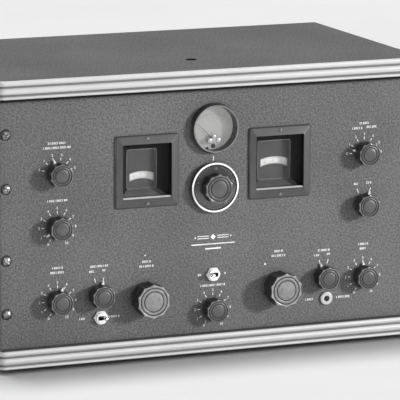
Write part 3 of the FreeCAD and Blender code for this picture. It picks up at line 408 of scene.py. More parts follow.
def piece(name, verts, faces, slot, body, material, smooth):
    """Mesh object that rides on a body; edges sharper than the smooth angle stay crisp."""
    mesh = bpy.data.meshes.new(name)
    mesh.from_pydata([tuple(v) for v in verts], [], faces)
    mesh.validate()
    mesh.update()
    if smooth:
        mesh.polygons.foreach_set("use_smooth", [True] * len(mesh.polygons))
        mesh.set_sharp_from_angle(angle=math.radians(smooth))
    obj = bpy.data.objects.new(name, mesh)
    bpy.context.scene.collection.objects.link(obj)
    mesh.materials.append(MATERIALS[material or slot])
    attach(obj, body)
    return obj


class Shape:
    """Vertices and faces gathered for one piece. Millimetres inside, metres in the piece."""

    def __init__(self, origin=(0, 0, 0)):
        self.origin = Vector(origin)
        self.verts, self.faces = [], []

    def add(self, verts, faces):
        start = len(self.verts)
        self.verts += [self.origin + Vector(v) * MM for v in verts]
        self.faces += [tuple(start + i for i in face) for face in faces]

    def lathe(self, profile, turns, at, axis="y", lean=0.0):
        """Turn (radius, height) or (radius, height, form) points about an axis through at.

        The axis "y" stands out of the panel towards the user, "z" stands up and "b" stands out of
        the back. A form gives the radius at an angle. The result may lean sideways."""
        c, s = math.cos(math.radians(lean)), math.sin(math.radians(lean))
        rings, verts, faces = [], [], []
        for radius, height, *form in profile:
            ring = []
            for i in range(1 if radius == 0 else turns):
                angle = 2 * math.pi * i / turns
                r = form[0](radius, angle) if form else radius
                side, up = r * math.sin(angle), r * math.cos(angle)
                spot = {"y": (side, -height, up), "z": (side, -up, height),
                        "b": (-side, height, up)}[axis]
                spot = (spot[0] * c - spot[1] * s, spot[0] * s + spot[1] * c, spot[2])
                ring.append(len(verts))
                verts.append(Vector(spot) + Vector(at))
            rings.append(ring)
        for first, second in zip(rings, rings[1:]):
            for i in range(turns):
                j = i + 1
                quad = (first[i % len(first)], first[j % len(first)],
                        second[j % len(second)], second[i % len(second)])
                face = tuple(dict.fromkeys(quad))
                if len(face) > 2:
                    faces.append(face)
        self.add(verts, faces)

    def block(self, low, high, turn=0.0, about=(0, 0)):
        """Block between two corners, turned clockwise in the panel's plane about an x, z point."""
        verts = []
        for x in (low[0], high[0]):
            for y in (low[1], high[1]):
                for z in (low[2], high[2]):
                    dx, dz = turned(x - about[0], z - about[1], turn)
                    verts.append((about[0] + dx, y, about[1] + dz))
        self.add(verts, [(0, 1, 3, 2), (4, 6, 7, 5), (0, 4, 5, 1),
                         (2, 3, 7, 6), (0, 2, 6, 4), (1, 5, 7, 3)])

    def prism(self, outline, x, z, turn, near, far):
        """Flat bar between two heights, with its outline turned clockwise about x, z."""
        verts = []
        for height in (near, far):
            for px, pz in outline:
                dx, dz = turned(px, pz, turn)
                verts.append((x + dx, -height, z + dz))
        count = len(outline)
        faces = [tuple(range(count))[::-1], tuple(range(count, 2 * count))]
        faces += [(i, (i + 1) % count, count + (i + 1) % count, count + i) for i in range(count)]
        self.add(verts, faces)

    def sweep(self, sections, steps=6):
        """Join rounded rectangles (half width, half height, corner radius, height) in turn."""
        rings, verts, faces = [], [], []
        for half_w, half_h, radius, height in sections:
            ring = []
            for sx, sz, start in ((1, 1, 0), (-1, 1, 90), (-1, -1, 180), (1, -1, 270)):
                cx, cz = sx * (half_w - radius), sz * (half_h - radius)
                for i in range(steps + 1):
                    angle = math.radians(start + 90 * i / steps)
                    ring.append(len(verts))
                    verts.append((cx + radius * math.cos(angle), -height,
                                  cz + radius * math.sin(angle)))
            rings.append(ring)
        for first, second in zip(rings, rings[1:]):
            for i in range(len(first)):
                j = (i + 1) % len(first)
                faces.append((first[i], first[j], second[j], second[i]))
        self.add(verts, faces)

    def make(self, name, slot, body="root", material=None, smooth=32.0):
        return piece(name, self.verts, self.faces, slot, body, material, smooth)


def panel_shape():
    """Shape with its origin on the panel's face, in the middle of its lower edge."""
    return Shape((0, FACE, FOOT))


def fluted(depth, count=10):
    """Form of a knob's side: wide hollows between narrow ridges."""
    def form(radius, angle):
        place = (angle * count / (2 * math.pi)) % 1.0
        return radius - depth * (1 - abs(2 * place - 1) ** 2.2)
    return form


def six_sided(flats):
    """Form of a nut: a circle cut off by six flats, two of them level."""
    def form(radius, angle):
        sector = math.radians(60)
        turn = (angle + sector / 2) % sector - sector / 2
        return min(radius, flats / 2 / math.cos(turn))
    return form


def slotted(half):
    """Form of a slot's edge: a circle cut off level above and below its middle."""
    def form(radius, angle):
        return min(radius, half / max(abs(math.cos(angle)), 0.05))
    return form


# ---- figures and marks

INK = 0.06                    # thickness of filled marks, mm
SUNK = 0.02                   # how far they reach into the surface, mm
FIGURE_SIZE = 2.9
FIGURE_REACH = 20.4           # from a control's axis to the middle of its figures
GLYPHS = {}


def glyph(text):
    """Outline faces of a figure one unit tall, lying in x and z, centred on its origin."""
    if text not in GLYPHS:
        curve = bpy.data.curves.new("figure", "FONT")
        curve.body = text
        curve.size = 1.35
        curve.align_x, curve.align_y = "CENTER", "CENTER"
        curve.resolution_u = 4
        holder = bpy.data.objects.new("figure", curve)
        bpy.context.scene.collection.objects.link(holder)
        depsgraph = bpy.context.evaluated_depsgraph_get()
        mesh = bpy.data.meshes.new_from_object(holder.evaluated_get(depsgraph))
        GLYPHS[text] = ([tuple(v.co) for v in mesh.vertices],
                        [tuple(p.vertices) for p in mesh.polygons])
        bpy.data.objects.remove(holder)
        bpy.data.curves.remove(curve)
        bpy.data.meshes.remove(mesh)
    return GLYPHS[text]


def write(shape, text, x, z, reach, angle, size, height, upright=False):
    """Flat figures at a reach and angle round x, z, upright or turned to stand on the arc."""
    verts, faces = glyph(text)
    mid_x, mid_z = turned(0, reach, angle)
    placed = []
    for vx, vz, _ in verts:
        dx, dz = turned(vx * size, vz * size, 0 if upright else angle)
        placed.append((x + mid_x + dx, -height, z + mid_z + dz))
    shape.add(placed, faces)


def mark(shape, x, z, width, height, turn=0.0):
    """Filled mark standing a hair above the surface."""
    shape.block((x - width / 2, -INK, z - height / 2), (x + width / 2, SUNK, z + height / 2),
                turn, (x, z))


def ray_mark(shape, x, z, angle, inner, outer, width, level=0.0):
    """Mark that points away from a control's axis, on a surface at a level above the panel."""
    shape.block((x - width / 2, -level - INK, z + inner), (x + width / 2, -level + SUNK, z + outer),
                angle, (x, z))


def caption(shape, x, z, width):
    """Row of small plain strokes that stands for a legend."""
    pitch, height, stroke, bar = 2.05, 2.3, 0.5, 0.95
    count = max(int(round(width / pitch)), 1)
    for i in range(count):
        left = x + (i - (count - 1) / 2) * pitch
        pattern = (i * 7 + int(abs(x)) + int(z)) % 4
        mark(shape, left - 0.45, z, 0.55, height)
        if pattern != 3:
            mark(shape, left + 0.1, z + (height - stroke) / 2, bar, stroke)
        if pattern in (0, 2):
            mark(shape, left + 0.1, z - (height - stroke) / 2, bar, stroke)
        if pattern in (1, 2):
            mark(shape, left + 0.5, z, stroke, height * 0.9)


# ---- knobs

SMALL = dict(radius=13.1, start=3.0, end=16.0, depth=1.15)
LARGE = dict(radius=18.7, start=3.0, end=23.0, depth=1.5, size="large_")
MIDDLE = dict(radius=16.3, start=6.5, end=17.5, depth=1.4)


def knob_profile(radius, start, end, form):
    """Fluted side that runs up to a flat rim, and a recess for the turned face."""
    shaft, recess = 3.1, end - 0.9
    return [(shaft, -6.0), (shaft, start + 0.4), (radius * 0.88, start + 0.4, form),
            (radius - 0.4, start, form), (radius, start + 0.5, form), (radius, recess, form),
            (radius - 0.3, end - 0.3, form), (radius - 0.8, end - 0.15, form),
            (radius * 0.84, end - 0.2), (radius * 0.82, recess), (0, recess)]


def face_rings(radius, end):
    """Turned ring and domed middle of a knob's face, painted lighter than the moulding, with the
    groove between them left in the moulding's dark colour as painted shade.
    """
    recess = end - 0.9
    ring = [(radius * 0.75, recess), (radius * 0.75, end - 0.3), (radius * 0.73, end - 0.15),
            (radius * 0.63, end - 0.15), (radius * 0.615, end - 0.3), (radius * 0.615, recess)]
    dome = [(radius * 0.55, recess), (radius * 0.55, end - 0.1), (radius * 0.52, end + 0.06),
            (radius * 0.35, end + 0.28), (radius * 0.18, end + 0.42), (0, end + 0.46)]
    return ring, dome


def rim_profile(radius, end, form):
    """Flat scalloped rim of the face, painted lighter than the moulding as a painted highlight where
    it turns down into the side.
    """
    return [(radius + 0.02, end - 1.2, form), (radius + 0.01, end - 0.6, form),
            (radius - 0.25, end - 0.15, form), (radius - 0.75, end, form), (radius * 0.85, end),
            (radius * 0.83, end - 0.2), (radius * 0.82, end - 0.6)]


def make_knob(node, body, radius, start, end, depth, size=""):
    """Moulding, rim painted as a highlight, and turned face of one knob."""
    x, z = local(node)
    form, at = fluted(depth), (x, 0, z)
    side_turns, face_turns = 160, 120
    shape = panel_shape()
    shape.lathe(knob_profile(radius, start, end, form), side_turns, at)
    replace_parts(shape.make(node + "_moulding", "knob_plastic", body), node)
    edge = panel_shape()
    edge.lathe(rim_profile(radius, end, form), side_turns, at)
    edge.make(node + "_edge", "knob_plastic", body, size + "knob_rim")
    rings = panel_shape()
    for profile in face_rings(radius, end):
        rings.lathe(profile, face_turns, at)
    rings.make(node + "_face", "knob_plastic", body, size + "knob_face")


def make_pointer(node, body, angle):
    """White-filled pointer under the knob's edge."""
    x, z = local(node)
    root, shoulder, tip = 8.5, 13.0, 16.2
    outline = [(-1.5, root), (1.5, root), (1.25, shoulder), (0.0, tip), (-1.25, shoulder)]
    shape = panel_shape()
    shape.prism(outline, x, z, angle, 1.85, 2.75)
    shape.make(node + "_pointer", "knob_plastic", body, "white_fill")


def make_knobs():
    for name, (angle, _) in SMALL_KNOBS.items():
        make_knob(name + "_knob", name, **SMALL)
        make_pointer(name + "_knob", name, angle)
    make_knob("main_tuning_knob", "main_tuning", **LARGE)
    make_knob("bandspread_knob", "bandspread_tuning", **LARGE)
    make_knob("band_switch_knob", "band_switch", **MIDDLE)


def make_band_skirt():
    """Polished skirt with figures, and the dark ring round it with its crown painted white as a
    painted highlight.
    """
    x, z = local("band_switch_skirt")
    at = (x, 0, z)
    skirt = panel_shape()
    skirt.lathe([(3.2, 3.0), (24.3, 3.0), (24.45, 5.2), (23.9, 5.7), (18.6, 6.35), (3.2, 6.4)],
                120, at)
    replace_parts(skirt.make("band_skirt_dish", "skirt_plastic", "band_switch"), "band_switch_skirt")
    ring = panel_shape()
    ring.lathe([(24.6, 3.0), (26.8, 3.05), (26.9, 3.4), (26.9, 5.7), (26.7, 6.2), (26.3, 6.45),
                (25.2, 6.5), (24.8, 6.3), (24.6, 5.6), (24.6, 3.0)], 144, at)
    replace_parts(ring.make("band_bright_ring", "bright_plate", "band_switch", "knob_plastic"),
                "band_switch_ring")
    crown = panel_shape()
    crown.lathe([(26.85, 5.9), (26.75, 6.25), (26.4, 6.5), (25.4, 6.56), (25.0, 6.5), (24.9, 6.3)],
                144, at)
    # The crown is painted white as a painted highlight on the plated ring.
    crown.make("band_ring_crown", "bright_plate", "band_switch", "ring_enamel")
    figures = panel_shape()
    bands = ("10", "20", "40", "2.5", "5")
    for index, text in enumerate(bands):
        angle = index * 360 / len(bands)
        write(figures, text, x, z, FIGURE_REACH, angle, FIGURE_SIZE, 6.45)
        for step in (-24, -18, 18, 24, 30, 36, 42):
            ray_mark(figures, x, z, angle + step, 22.0, 23.3, 0.45, 6.0)
    figures.make("band_skirt_figures", "skirt_plastic", "band_switch", "faint_ink", 0)


# ---- panel marks

# Captions of each control: steps right and up from its axis, and width.
TUNING_CAPTIONS = ((0, 39.2, 11), (0, 34.2, 17))
CAPTIONS = {
    "selectivity_knob": ((0, 32.6, 20), (0, 27.8, 30)),
    "phasing_knob": ((0, 28.4, 22),),
    "bandwidth_knob": ((0, 36.0, 13), (0, 31.0, 17)),
    "limiter_knob": ((0, 31.4, 20), (-8.5, 26.0, 7), (5.5, 26.6, 5)),
    "sensitivity_knob": ((0, 25.6, 28),),
    "avc_knob": ((0, 29.2, 15), (-8.5, 24.0, 7), (5.5, 24.6, 5)),
    "audio_gain_knob": ((0, 35.6, 13), (0, 30.6, 9)),
    "mode_knob": ((-9, 23.0, 7), (6, 23.6, 7)),
    "beat_knob": ((0, 32.4, 12), (-8.5, 27.2, 13), (8.5, 28.0, 13)),
    "main_tuning_knob": TUNING_CAPTIONS,
    "bandspread_knob": TUNING_CAPTIONS,
    "phone_jack": ((-19.5, 0, 11), (20.5, 0, 16)),
}


def make_legends():
    """White-filled marks of the panel: scales, figures and plain strokes in place of words."""
    shape = panel_shape()
    for name, (_, marks) in SMALL_KNOBS.items():
        x, z = local(name + "_knob")
        scale = len(marks) > 2
        for index, angle in enumerate(marks):
            ray_mark(shape, x, z, angle, 14.6, 17.6 if scale else 19.5, 0.75)
            if scale:
                write(shape, str(index), x, z, FIGURE_REACH, angle, FIGURE_SIZE, INK, True)
    for node, rows in CAPTIONS.items():
        x, z = local(node)
        for dx, dz, width in rows:
            caption(shape, x + dx, z + dz, width)
    jack_x, jack_z = local("phone_jack")        # the left switch stands opposite the jack
    caption(shape, -jack_x - 16.5, jack_z, 6)
    caption(shape, -jack_x + 19.0, jack_z, 15)
    switch_z = local("centre_toggle_lever")[1]
    caption(shape, -15.5, switch_z, 5)
    caption(shape, 14.0, switch_z, 3)
    for node, dx, dz, size in (("main_tuning_knob", -1.5, 46, 1.3),
                               ("bandspread_knob", -15.5, 26, 1.9)):
        x, z = local(node)
        mark(shape, x + dx, z + dz, size, size, 45)
    x, z = local("band_switch_ring")
    mark(shape, x, z + 30.6, 0.8, 5.2)
    make_emblem(shape)
    shape.make("panel_marks", "panel_paint", "root", "white_fill", 0)


def make_emblem(shape):
    """Plain ornament in the middle of the panel: a lozenge between rules."""
    level = 104.0
    for side in (-1, 1):
        mark(shape, side * 11.5, level + 1.2, 13, 0.7)
        mark(shape, side * 11.5, level - 1.2, 13, 0.7)
        mark(shape, side * 20.5, level, 1.5, 1.5, 45)
    mark(shape, 0, level, 4.2, 4.2, 45)
    mark(shape, 0, level - 7.6, 50, 1.0)
    mark(shape, 0, level - 12.6, 18, 1.4)


# ---- windows and dials

SIDES = ("left", "right")


def window(side):
    """A shape placed at a window's middle, and half the size of the window's frame."""
    low, high = corners(side + "_escutcheon")
    middle = (low + high) / 2
    return Shape((middle.x, FACE, middle.z)), (high - low) / 2 / MM


def make_windows():
    """Frames with a sloping outer edge and a flat face, and a sill in the opening painted light as a
    painted highlight.
    """
    drop = 1.5                  # the opening's edges stand this much further in at top and bottom
    for side in SIDES:
        shape, half = window(side)

        def section(inset, height, radius, dropped=0.0):
            return half.x - inset, half.z - inset - dropped, radius, height
        shape.sweep([section(0.0, 0.0, 2.5), section(0.05, 1.3, 2.5), section(1.1, 2.6, 2.2),
                     section(1.5, 2.75, 2.0), section(7.6, 2.6, 1.2, drop),
                     section(8.1, 2.9, 1.1, drop), section(8.4, 2.7, 1.0, drop),
                     section(8.5, 2.2, 0.9, drop)])
        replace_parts(shape.make(side + "_window_frame", "frame_paint"), side + "_escutcheon")
        # Wall of the opening, black as painted shade.
        wall, _ = window(side)
        wall.sweep([section(8.49, 2.3, 0.9, drop), section(8.53, -3.8, 0.8, drop),
                    section(8.2, -3.8, 0.8, drop)])
        wall.make(side + "_window_lining", "frame_paint", "root", "lining_black")
        # Sill along the opening's lower edge, painted light as a painted highlight.
        sill, _ = window(side)
        wide, low = half.x - 8.9, 10.0 - half.z
        for inner, outer, front in ((0.0, 0.55, 2.2), (0.55, 1.1, 1.6), (1.1, 1.5, 0.8)):
            sill.block((-wide, -front, low + inner), (wide, 1.0, low + outer))
        sill.make(side + "_window_sill", "frame_paint", "root", "edge_bead", 0)


def between(first, second, share):
    return first + (second - first) * share


def make_hoods():
    """Hood from each opening in to the flat middle of the mask, black as painted shade, with its
    trimmings.
    """
    for side in SIDES:
        shape, half = window(side)
        low, high = corners(side + "_dial_mask")
        flat_w, flat_h = (high.x - low.x) / 2 / MM - 1.6, 21.0
        face_depth = (high.y - FACE) / MM - 1.0
        back = -face_depth
        front = (FACE - corners(side + "_window_glass")[1].y) / MM - 0.3
        wide, tall = half.x - 8.7, half.z - 10.2
        shape.sweep([(wide + 2.5, tall + 2.5, 1.0, front + 0.2), (wide, tall, 1.2, front),
                     (flat_w + 0.4, flat_h + 0.4, 2.2, back)])
        shape.make(side + "_mask_hood", "mask_paint", "root", "lining_black")
        # Bead round the mask's flat, painted lighter as a painted highlight.
        bead, _ = window(side)
        bead.sweep([(flat_w + out, flat_h + out, radius, back + rise)
                    for out, radius, rise in ((0.5, 2.2, -0.2), (0.3, 2.2, 0.35),
                                              (-0.3, 2.0, 0.3), (-0.5, 2.0, -0.5))])
        bead.make(side + "_mask_bead", "mask_paint", "root", "hood_paint")
        cheeks, _ = window(side)
        for start, stop in ((-flat_w + 0.2, -flat_w + 3.2), (flat_w - 3.2, flat_w - 0.2)):
            cheeks.block((start, face_depth - 0.4, 0.5 - flat_h),
                         (stop, face_depth - 0.05, flat_h - 0.5))
        cheeks.make(side + "_slot_cheeks", "mask_paint", "root", None, 0)
        make_apron(side, (wide - 1.0, flat_w - 0.5), (0.85 - tall, -0.15 - flat_h),
                   (front - 0.2, back + 0.4))


def make_apron(side, half_widths, drops, heights):
    """Slope under the slot, slightly bulged and painted lighter than the hood as painted light,
    between two edges given front first.
    """
    apron, _ = window(side)
    rows, bulge = 6, 0.5
    verts, faces = [], []
    for step in range(rows + 1):
        share = step / rows
        x, z = between(*half_widths, share), between(*drops, share)
        y = -between(*heights, share) - bulge * math.sin(math.pi * share)
        verts += [(-x, y, z), (x, y, z)]
        if step:
            faces.append((2 * step - 2, 2 * step - 1, 2 * step + 1, 2 * step))
    apron.add(verts, faces)
    apron.make(side + "_mask_apron", "mask_paint", "root", "apron_paint")


def make_dial_scales():
    """Pale scale bands with division lines and figures, seen through the masks' slots."""
    for node, body in (("main_dial", "main_gang"), ("bandspread_dial", "bandspread_gang")):
        low, high = corners(node)
        x, z = local(node)
        radius = (high.x - low.x) / 2 / MM
        level = (FACE - low.y) / MM
        top = level + 0.25
        band = panel_shape()
        band.lathe([(radius - 11.0, level + 0.05), (radius - 11.0, top), (radius - 0.3, top),
                    (radius - 0.3, level + 0.05)], 180, (x, 0, z))
        band.make(node + "_scale_band", "dial_scale", body)
        lines = panel_shape()
        outer, inner = radius - 1.2, radius - 8.4
        for index in range(120):
            angle, length = index * 3, 2.6 if index % 5 == 0 else 1.3
            ray_mark(lines, x, z, angle, outer - length, outer, 0.2, top)
            ray_mark(lines, x, z, angle + 1.5, inner, inner + length / 2, 0.18, top)
        for index in range(24):
            write(lines, str((index * 5) % 100), x, z, radius - 5.6, index * 15, 1.9, top + INK)
        lines.make(node + "_scale_lines", "dial_scale", body, "faint_ink", 0)


# ---- meter

METER_REST = -45              # the needle's angle at rest, on the first division


def make_meter():
    """Bezel, bridge over the pivot with its screws, zero setter, scale and fine needle."""
    x, z = local("meter_case")
    low, high = corners("meter_case")
    outer = (high.x - low.x) / 2 / MM
    card_level = (FACE - corners("meter_face")[0].y) / MM
    hub_z = z - 12.5
    shape = panel_shape()
    shape.lathe([(0, -38.0), (24.0, -38.0), (25.0, -37.0), (25.0, -0.2), (outer - 0.4, 0.0),
                 (outer, 0.4), (outer, 1.3), (outer - 0.5, 1.8), (outer - 1.0, 1.8),
                 (outer - 1.0, 6.6), (outer - 1.2, 7.3), (outer - 1.7, 7.8), (outer - 1.9, 7.8),
                 (24.15, 7.5), (24.1, 6.9), (24.05, -4.6), (0, -4.7)], 144, (x, 0, z))
    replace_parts(shape.make("meter_moulding", "meter_body"), "meter_case")
    # The crown is painted lighter than the moulding as a painted highlight on the bezel's rim.
    crown = panel_shape()
    crown.lathe([(outer - 1.6, 7.7), (outer - 1.75, 7.95), (outer - 2.1, 8.0), (24.5, 8.0),
                 (24.3, 7.85), (24.25, 7.6)], 144, (x, 0, z))
    crown.make("meter_bezel_crown", "meter_body", "root", "crown_gloss")
    bridge, screws, zero = panel_shape(), panel_shape(), panel_shape()
    bridge.block((x - 7.4, -1.5, hub_z - 3.4), (x + 7.4, -0.3, hub_z + 1.7))
    bridge.block((x - 2.2, -1.5, hub_z + 1.7), (x + 2.2, -0.3, hub_z + 5.6))
    for side in (-1, 1):
        bridge.lathe([(1.5, card_level), (1.5, 0.4)], 24, (x + side * 5.4, 0, hub_z - 1.4))
        screws.lathe([(2.5, 1.5), (2.4, 2.2), (1.6, 2.6), (0, 2.7)], 32,
                     (x + side * 4.9, 0, hub_z - 0.9))
    screws.lathe([(2.1, 1.5), (2.0, 2.0), (1.2, 2.4), (0, 2.5)], 32, (x, 0, hub_z + 3.4))
    for dx, dz, radius in ((1.2, -7.6, 2.3), (-5.8, -9.8, 1.5)):
        zero.lathe([(radius, card_level), (radius, -2.9), (radius - 0.3, -2.6), (0, -2.6)], 32,
                   (x + dx, 0, hub_z + dz))
    bridge.make("meter_bridge", "meter_body", "root", "meter_hub_paint")
    screws.make("meter_bridge_screws", "bright_plate", "root", "bridge_bright")
    zero.make("meter_zero_screw", "meter_body", "root", "black_fill")
    make_meter_scale(x, hub_z, card_level)
    make_needle(x, hub_z)


def make_meter_scale(x, hub_z, card_level):
    """Arc of the scale with its division lines, and figures below every fifth line."""
    scale = panel_shape()
    reach, arc_width, per_figure = 26.5, 0.3, 5
    for index in range(31):
        angle = METER_REST + 3 * index
        figure = index % per_figure == 0
        ray_mark(scale, x, hub_z, angle, reach, reach + (3.0 if figure else 1.6), 0.22, card_level)
        ray_mark(scale, x, hub_z, angle, reach - arc_width / 2, reach + arc_width / 2, 1.45,
                 card_level)
        if figure:
            write(scale, str(index // per_figure), x, hub_z, reach - 3.2, angle, 2.2,
                  card_level + INK)
    scale.make("meter_scale", "meter_card", "root", "faint_ink", 0)


def make_needle(x, hub_z):
    """Fine tapered pointer with a small counterweight, drawn in its rest place."""
    plane = (FACE - centre("meter_needle").y) / MM
    outline = [(-0.55, -4.2), (0.55, -4.2), (0.5, 2.0), (0.14, 25.9), (-0.14, 25.9), (-0.5, 2.0)]
    shape = panel_shape()
    shape.prism(outline, x, hub_z, METER_REST, plane - 0.2, plane + 0.2)
    shape.lathe([(0, plane - 0.75), (2.0, plane - 0.75), (2.0, plane + 0.75), (0, plane + 0.75)],
                32, (x, 0, hub_z))
    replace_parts(shape.make("meter_pointer", "needle_paint", "meter_movement"), "meter_needle")


# ---- switches, lid pull and shade strips

def make_toggles():
    """Chamfered nuts with slotted bushings, their dark wells, and bat levers."""
    nuts, wells = panel_shape(), panel_shape()
    hexagon, slot = six_sided(14.2), slotted(2.2)
    throw, pivot_depth = 11, 7.0
    for name, x, lean in (("left_toggle", LEFT_TOGGLE_X, throw), ("centre_toggle", 0.0, -throw)):
        z = local(name + "_lever")[1]
        nuts.lathe([(4.4, 4.2, slot), (4.5, 4.7, slot), (5.4, 4.9), (5.9, 4.5), (5.95, 2.4),
                    (6.6, 2.4), (7.2, 2.4, hexagon), (NUT_RADIUS, 1.7, hexagon),
                    (NUT_RADIUS, 0.05, hexagon), (5.95, 0.05)], 72, (x, 0, z))
        wells.lathe([(4.4, 4.3, slot), (4.3, 3.0, slot), (3.4, -2.0, slot), (0, -2.0)], 48,
                    (x, 0, z))
        lever = panel_shape()
        lever.lathe([(0, -3.0), (2.0, -2.4), (3.0, 0.0), (2.2, 2.0), (1.25, 2.8), (1.3, 6.0),
                     (1.75, 12.0), (2.0, 16.0), (1.98, 17.6), (1.6, 18.5), (0.8, 18.95),
                     (0, 19.0)], 40, (x, pivot_depth, z), "y", lean)
        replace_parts(lever.make(name + "_lever_bat", "nickel", name, "bright_plate"),
                    name + "_lever")
    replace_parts(nuts.make("toggle_hex_nuts", "nickel", "root", "nut_plate"), "toggle_nuts")
    wells.make("toggle_wells", "nickel", "root", "black_fill")


def make_lid_pull():
    """Dished ferrule in the lid, black as painted shade in its well, with a bright button in it."""
    spot = centre("lid_finger_pull") / MM
    spot.z = corners_mm("cabinet_lid")[1].z
    ferrule, button = Shape(), Shape()
    ferrule.lathe([(7.6, -5.2), (7.6, -1.7), (6.1, -1.7), (6.1, 0.1), (5.9, 0.25), (5.4, 0.2),
                   (5.15, -0.2), (4.9, -4.0), (2.7, -4.1)], 64, spot, "z")
    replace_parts(ferrule.make("lid_pull_ferrule", "nickel", "lid", "lining_black"),
                "lid_finger_pull")
    button.lathe([(2.7, -4.1), (2.4, -3.4), (2.0, -1.9), (2.1, -1.3), (1.8, -0.9), (1.0, -0.6),
                  (0, -0.55)], 48, spot, "z")
    button.make("lid_pull_button", "nickel", "lid", "bright_plate")


def make_seals():
    """Dark strips in the gaps between the panel and the two mouldings: painted shade under the upper
    moulding and above the lower one.
    """
    low, high = PANEL_LOW / MM, PANEL_HIGH / MM
    front = corners_mm("upper_trim")[0].y
    # The black upper strip and the grey lower strip are painted shade lines at the mouldings' edges.
    for name, finish, setback, bottom, top in (
            ("upper_shade_strip", "lining_black", 0.9, high.z - 2.2, high.z - 0.05),
            ("lower_shade_strip", "felt_grey", 1.2, low.z + 0.05, low.z + 0.6)):
        shape = Shape()
        shape.block((low.x, front + setback, bottom), (high.x, low.y - 0.05, top))
        shape.make(name, "foot_rubber", "root", finish, 0)


# ---- inside and behind

def make_valves():
    """Glass envelopes with their anodes and bases, in place of the plain CAD bodies."""
    low, high = corners_mm("valves")
    envelopes, anodes, bases = Shape(), Shape(), Shape()
    for x in spaced(low.x, high.x, 18.0, 2):
        for y in spaced(low.y, high.y, 18.0, 4):
            at = (x, y, low.z)
            envelopes.lathe([(12.6, 16), (13.4, 20), (16.4, 27), (17.9, 36), (17.8, 50),
                             (16.6, 58), (13.2, 64), (10.2, 69), (8.4, 72.6), (4.2, 73.8),
                             (0, 74.0)], 48, at, "z")
            anodes.lathe([(0, 24), (9.5, 24), (10.5, 25), (10.5, 52), (9.5, 53), (0, 53)],
                         12, at, "z")
            anodes.lathe([(0, 58), (14.0, 58), (14.0, 59), (0, 59)], 24, at, "z")
            bases.lathe([(17, 0), (17, 2.4), (16.5, 3.0), (14.2, 3.2), (14.0, 17.2), (13.4, 18.0),
                         (12, 18.2), (0, 18.2)], 48, at, "z")
    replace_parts(envelopes.make("valve_envelopes", "valve_glass"), "valves")
    anodes.make("valve_anodes", "valve_glass", "root", "hot_metal")
    bases.make("valve_bases", "black_phenolic")


def make_can_details():
    """Trimmer nuts and fixing tabs of the screening cans, and screws on the coil box."""
    low, high = corners_mm("if_cans")
    shape = Shape()
    for x in spaced(low.x, high.x, 17.0, 2):
        for y in spaced(low.y, high.y, 17.0, 4):
            for dx in (-8, 8):
                shape.lathe([(2.6, 0), (2.6, 1.4), (2.2, 1.8), (0, 1.8)], 6,
                            (x + dx, y, high.z - 2.0), "z")
            shape.block((x - 19.5, y - 4, low.z), (x + 19.5, y + 4, low.z + 1.2))
    box_low, box_high = corners_mm("coil_box")
    for x in (-27, 27):
        for y in spaced(box_low.y, box_high.y, 8.0, 5):
            shape.lathe([(2.8, 0), (2.7, 0.8), (1.9, 1.6), (0, 1.9)], 24, (x, y, box_high.z), "z")
    shape.make("can_fittings", "nickel")


def make_back_details():
    """Screws round the rear cover, rivets in the hinge and caps on the terminals."""
    low, high = corners_mm("rear_cover")
    head = [(3.4, 0), (3.3, 0.9), (2.4, 1.8), (1.2, 2.2), (0, 2.3)]
    places = [(x, z) for x in spaced(low.x, high.x, 5, 2) for z in spaced(low.z, high.z, 8, 5)]
    places += [(x, z) for x in spaced(low.x, high.x, 60, 5) for z in (low.z + 6, high.z - 5)]
    screws = Shape()
    for x, z in places:
        screws.lathe(head, 32, (x, high.y, z), "b")
    screws.make("rear_cover_screws", "nickel")
    low, high = corners_mm("hinge_leaf_fixed")
    rivets = Shape()
    for x in spaced(low.x, high.x, 14, 12):
        rivets.lathe([(2.3, 0), (2.2, 0.5), (1.4, 0.9), (0, 1.0)], 24,
                     (x, low.y + 1.0, low.z + 9), "b")
    rivets.make("hinge_rivets", "nickel")
    low, high = corners_mm("rear_terminals")
    caps = Shape()
    for index in range(8):
        caps.lathe([(4.2, -4.0), (4.4, -3.6), (4.4, -0.9), (4.0, -0.4), (2.2, -0.3), (2.2, -0.1),
                    (0, -0.05)], 24, (low.x + 9 + index * 18.5, high.y, (low.z + high.z) / 2), "b")
    caps.make("terminal_caps", "nickel")


def make_louvre_lips():
    """Pressed lips over the ventilation slots in both sides of the cabinet."""
    low, high = corners_mm("cabinet_shell")
    first_row, pitch = low.z + 182, 14
    front, back = high.y - 160, high.y - 40
    taper = 3
    shape = Shape()
    for side, wall in ((-1, low.x), (1, high.x)):
        root, lip, under = wall - side * 0.3, wall + side * 1.7, wall + side * 1.2
        for row in range(7):
            z = first_row + row * pitch
            verts = [(root, front, z + 3.2), (root, back, z + 3.2),
                     (lip, back - taper, z - 1.6), (lip, front + taper, z - 1.6),
                     (under, back - taper, z - 1.8), (under, front + taper, z - 1.8),
                     (root, front, z + 0.2), (root, back, z + 0.2)]
            faces = [(0, 1, 2, 3), (3, 2, 4, 5), (5, 4, 7, 6), (0, 3, 5, 6), (1, 7, 4, 2),
                     (0, 6, 7, 1)]
            shape.add(verts, faces if side > 0 else [face[::-1] for face in faces])
    shape.make("side_louvre_lips", "cabinet_paint", "root", None, 0)


# ---- stage, light and camera

KEY_POWER, RIM_POWER, BOUNCE_POWER = 205, 18, 0.62      # W, on the object alone
OVERHEAD_POWER, FILL_POWER, SURROUND = 2.3, 0.5, 0.27   # on the floor too
FLOOR_HALF = 14.0
CAMERA_PLACE = (-1.40966, -3.51995, 0.87715)
CAMERA_YAW, CAMERA_PITCH, CAMERA_ROLL = 22.377, 10.933, 0.242
CAMERA_LENS, SENSOR_WIDTH = 315.46, 36.0                # mm


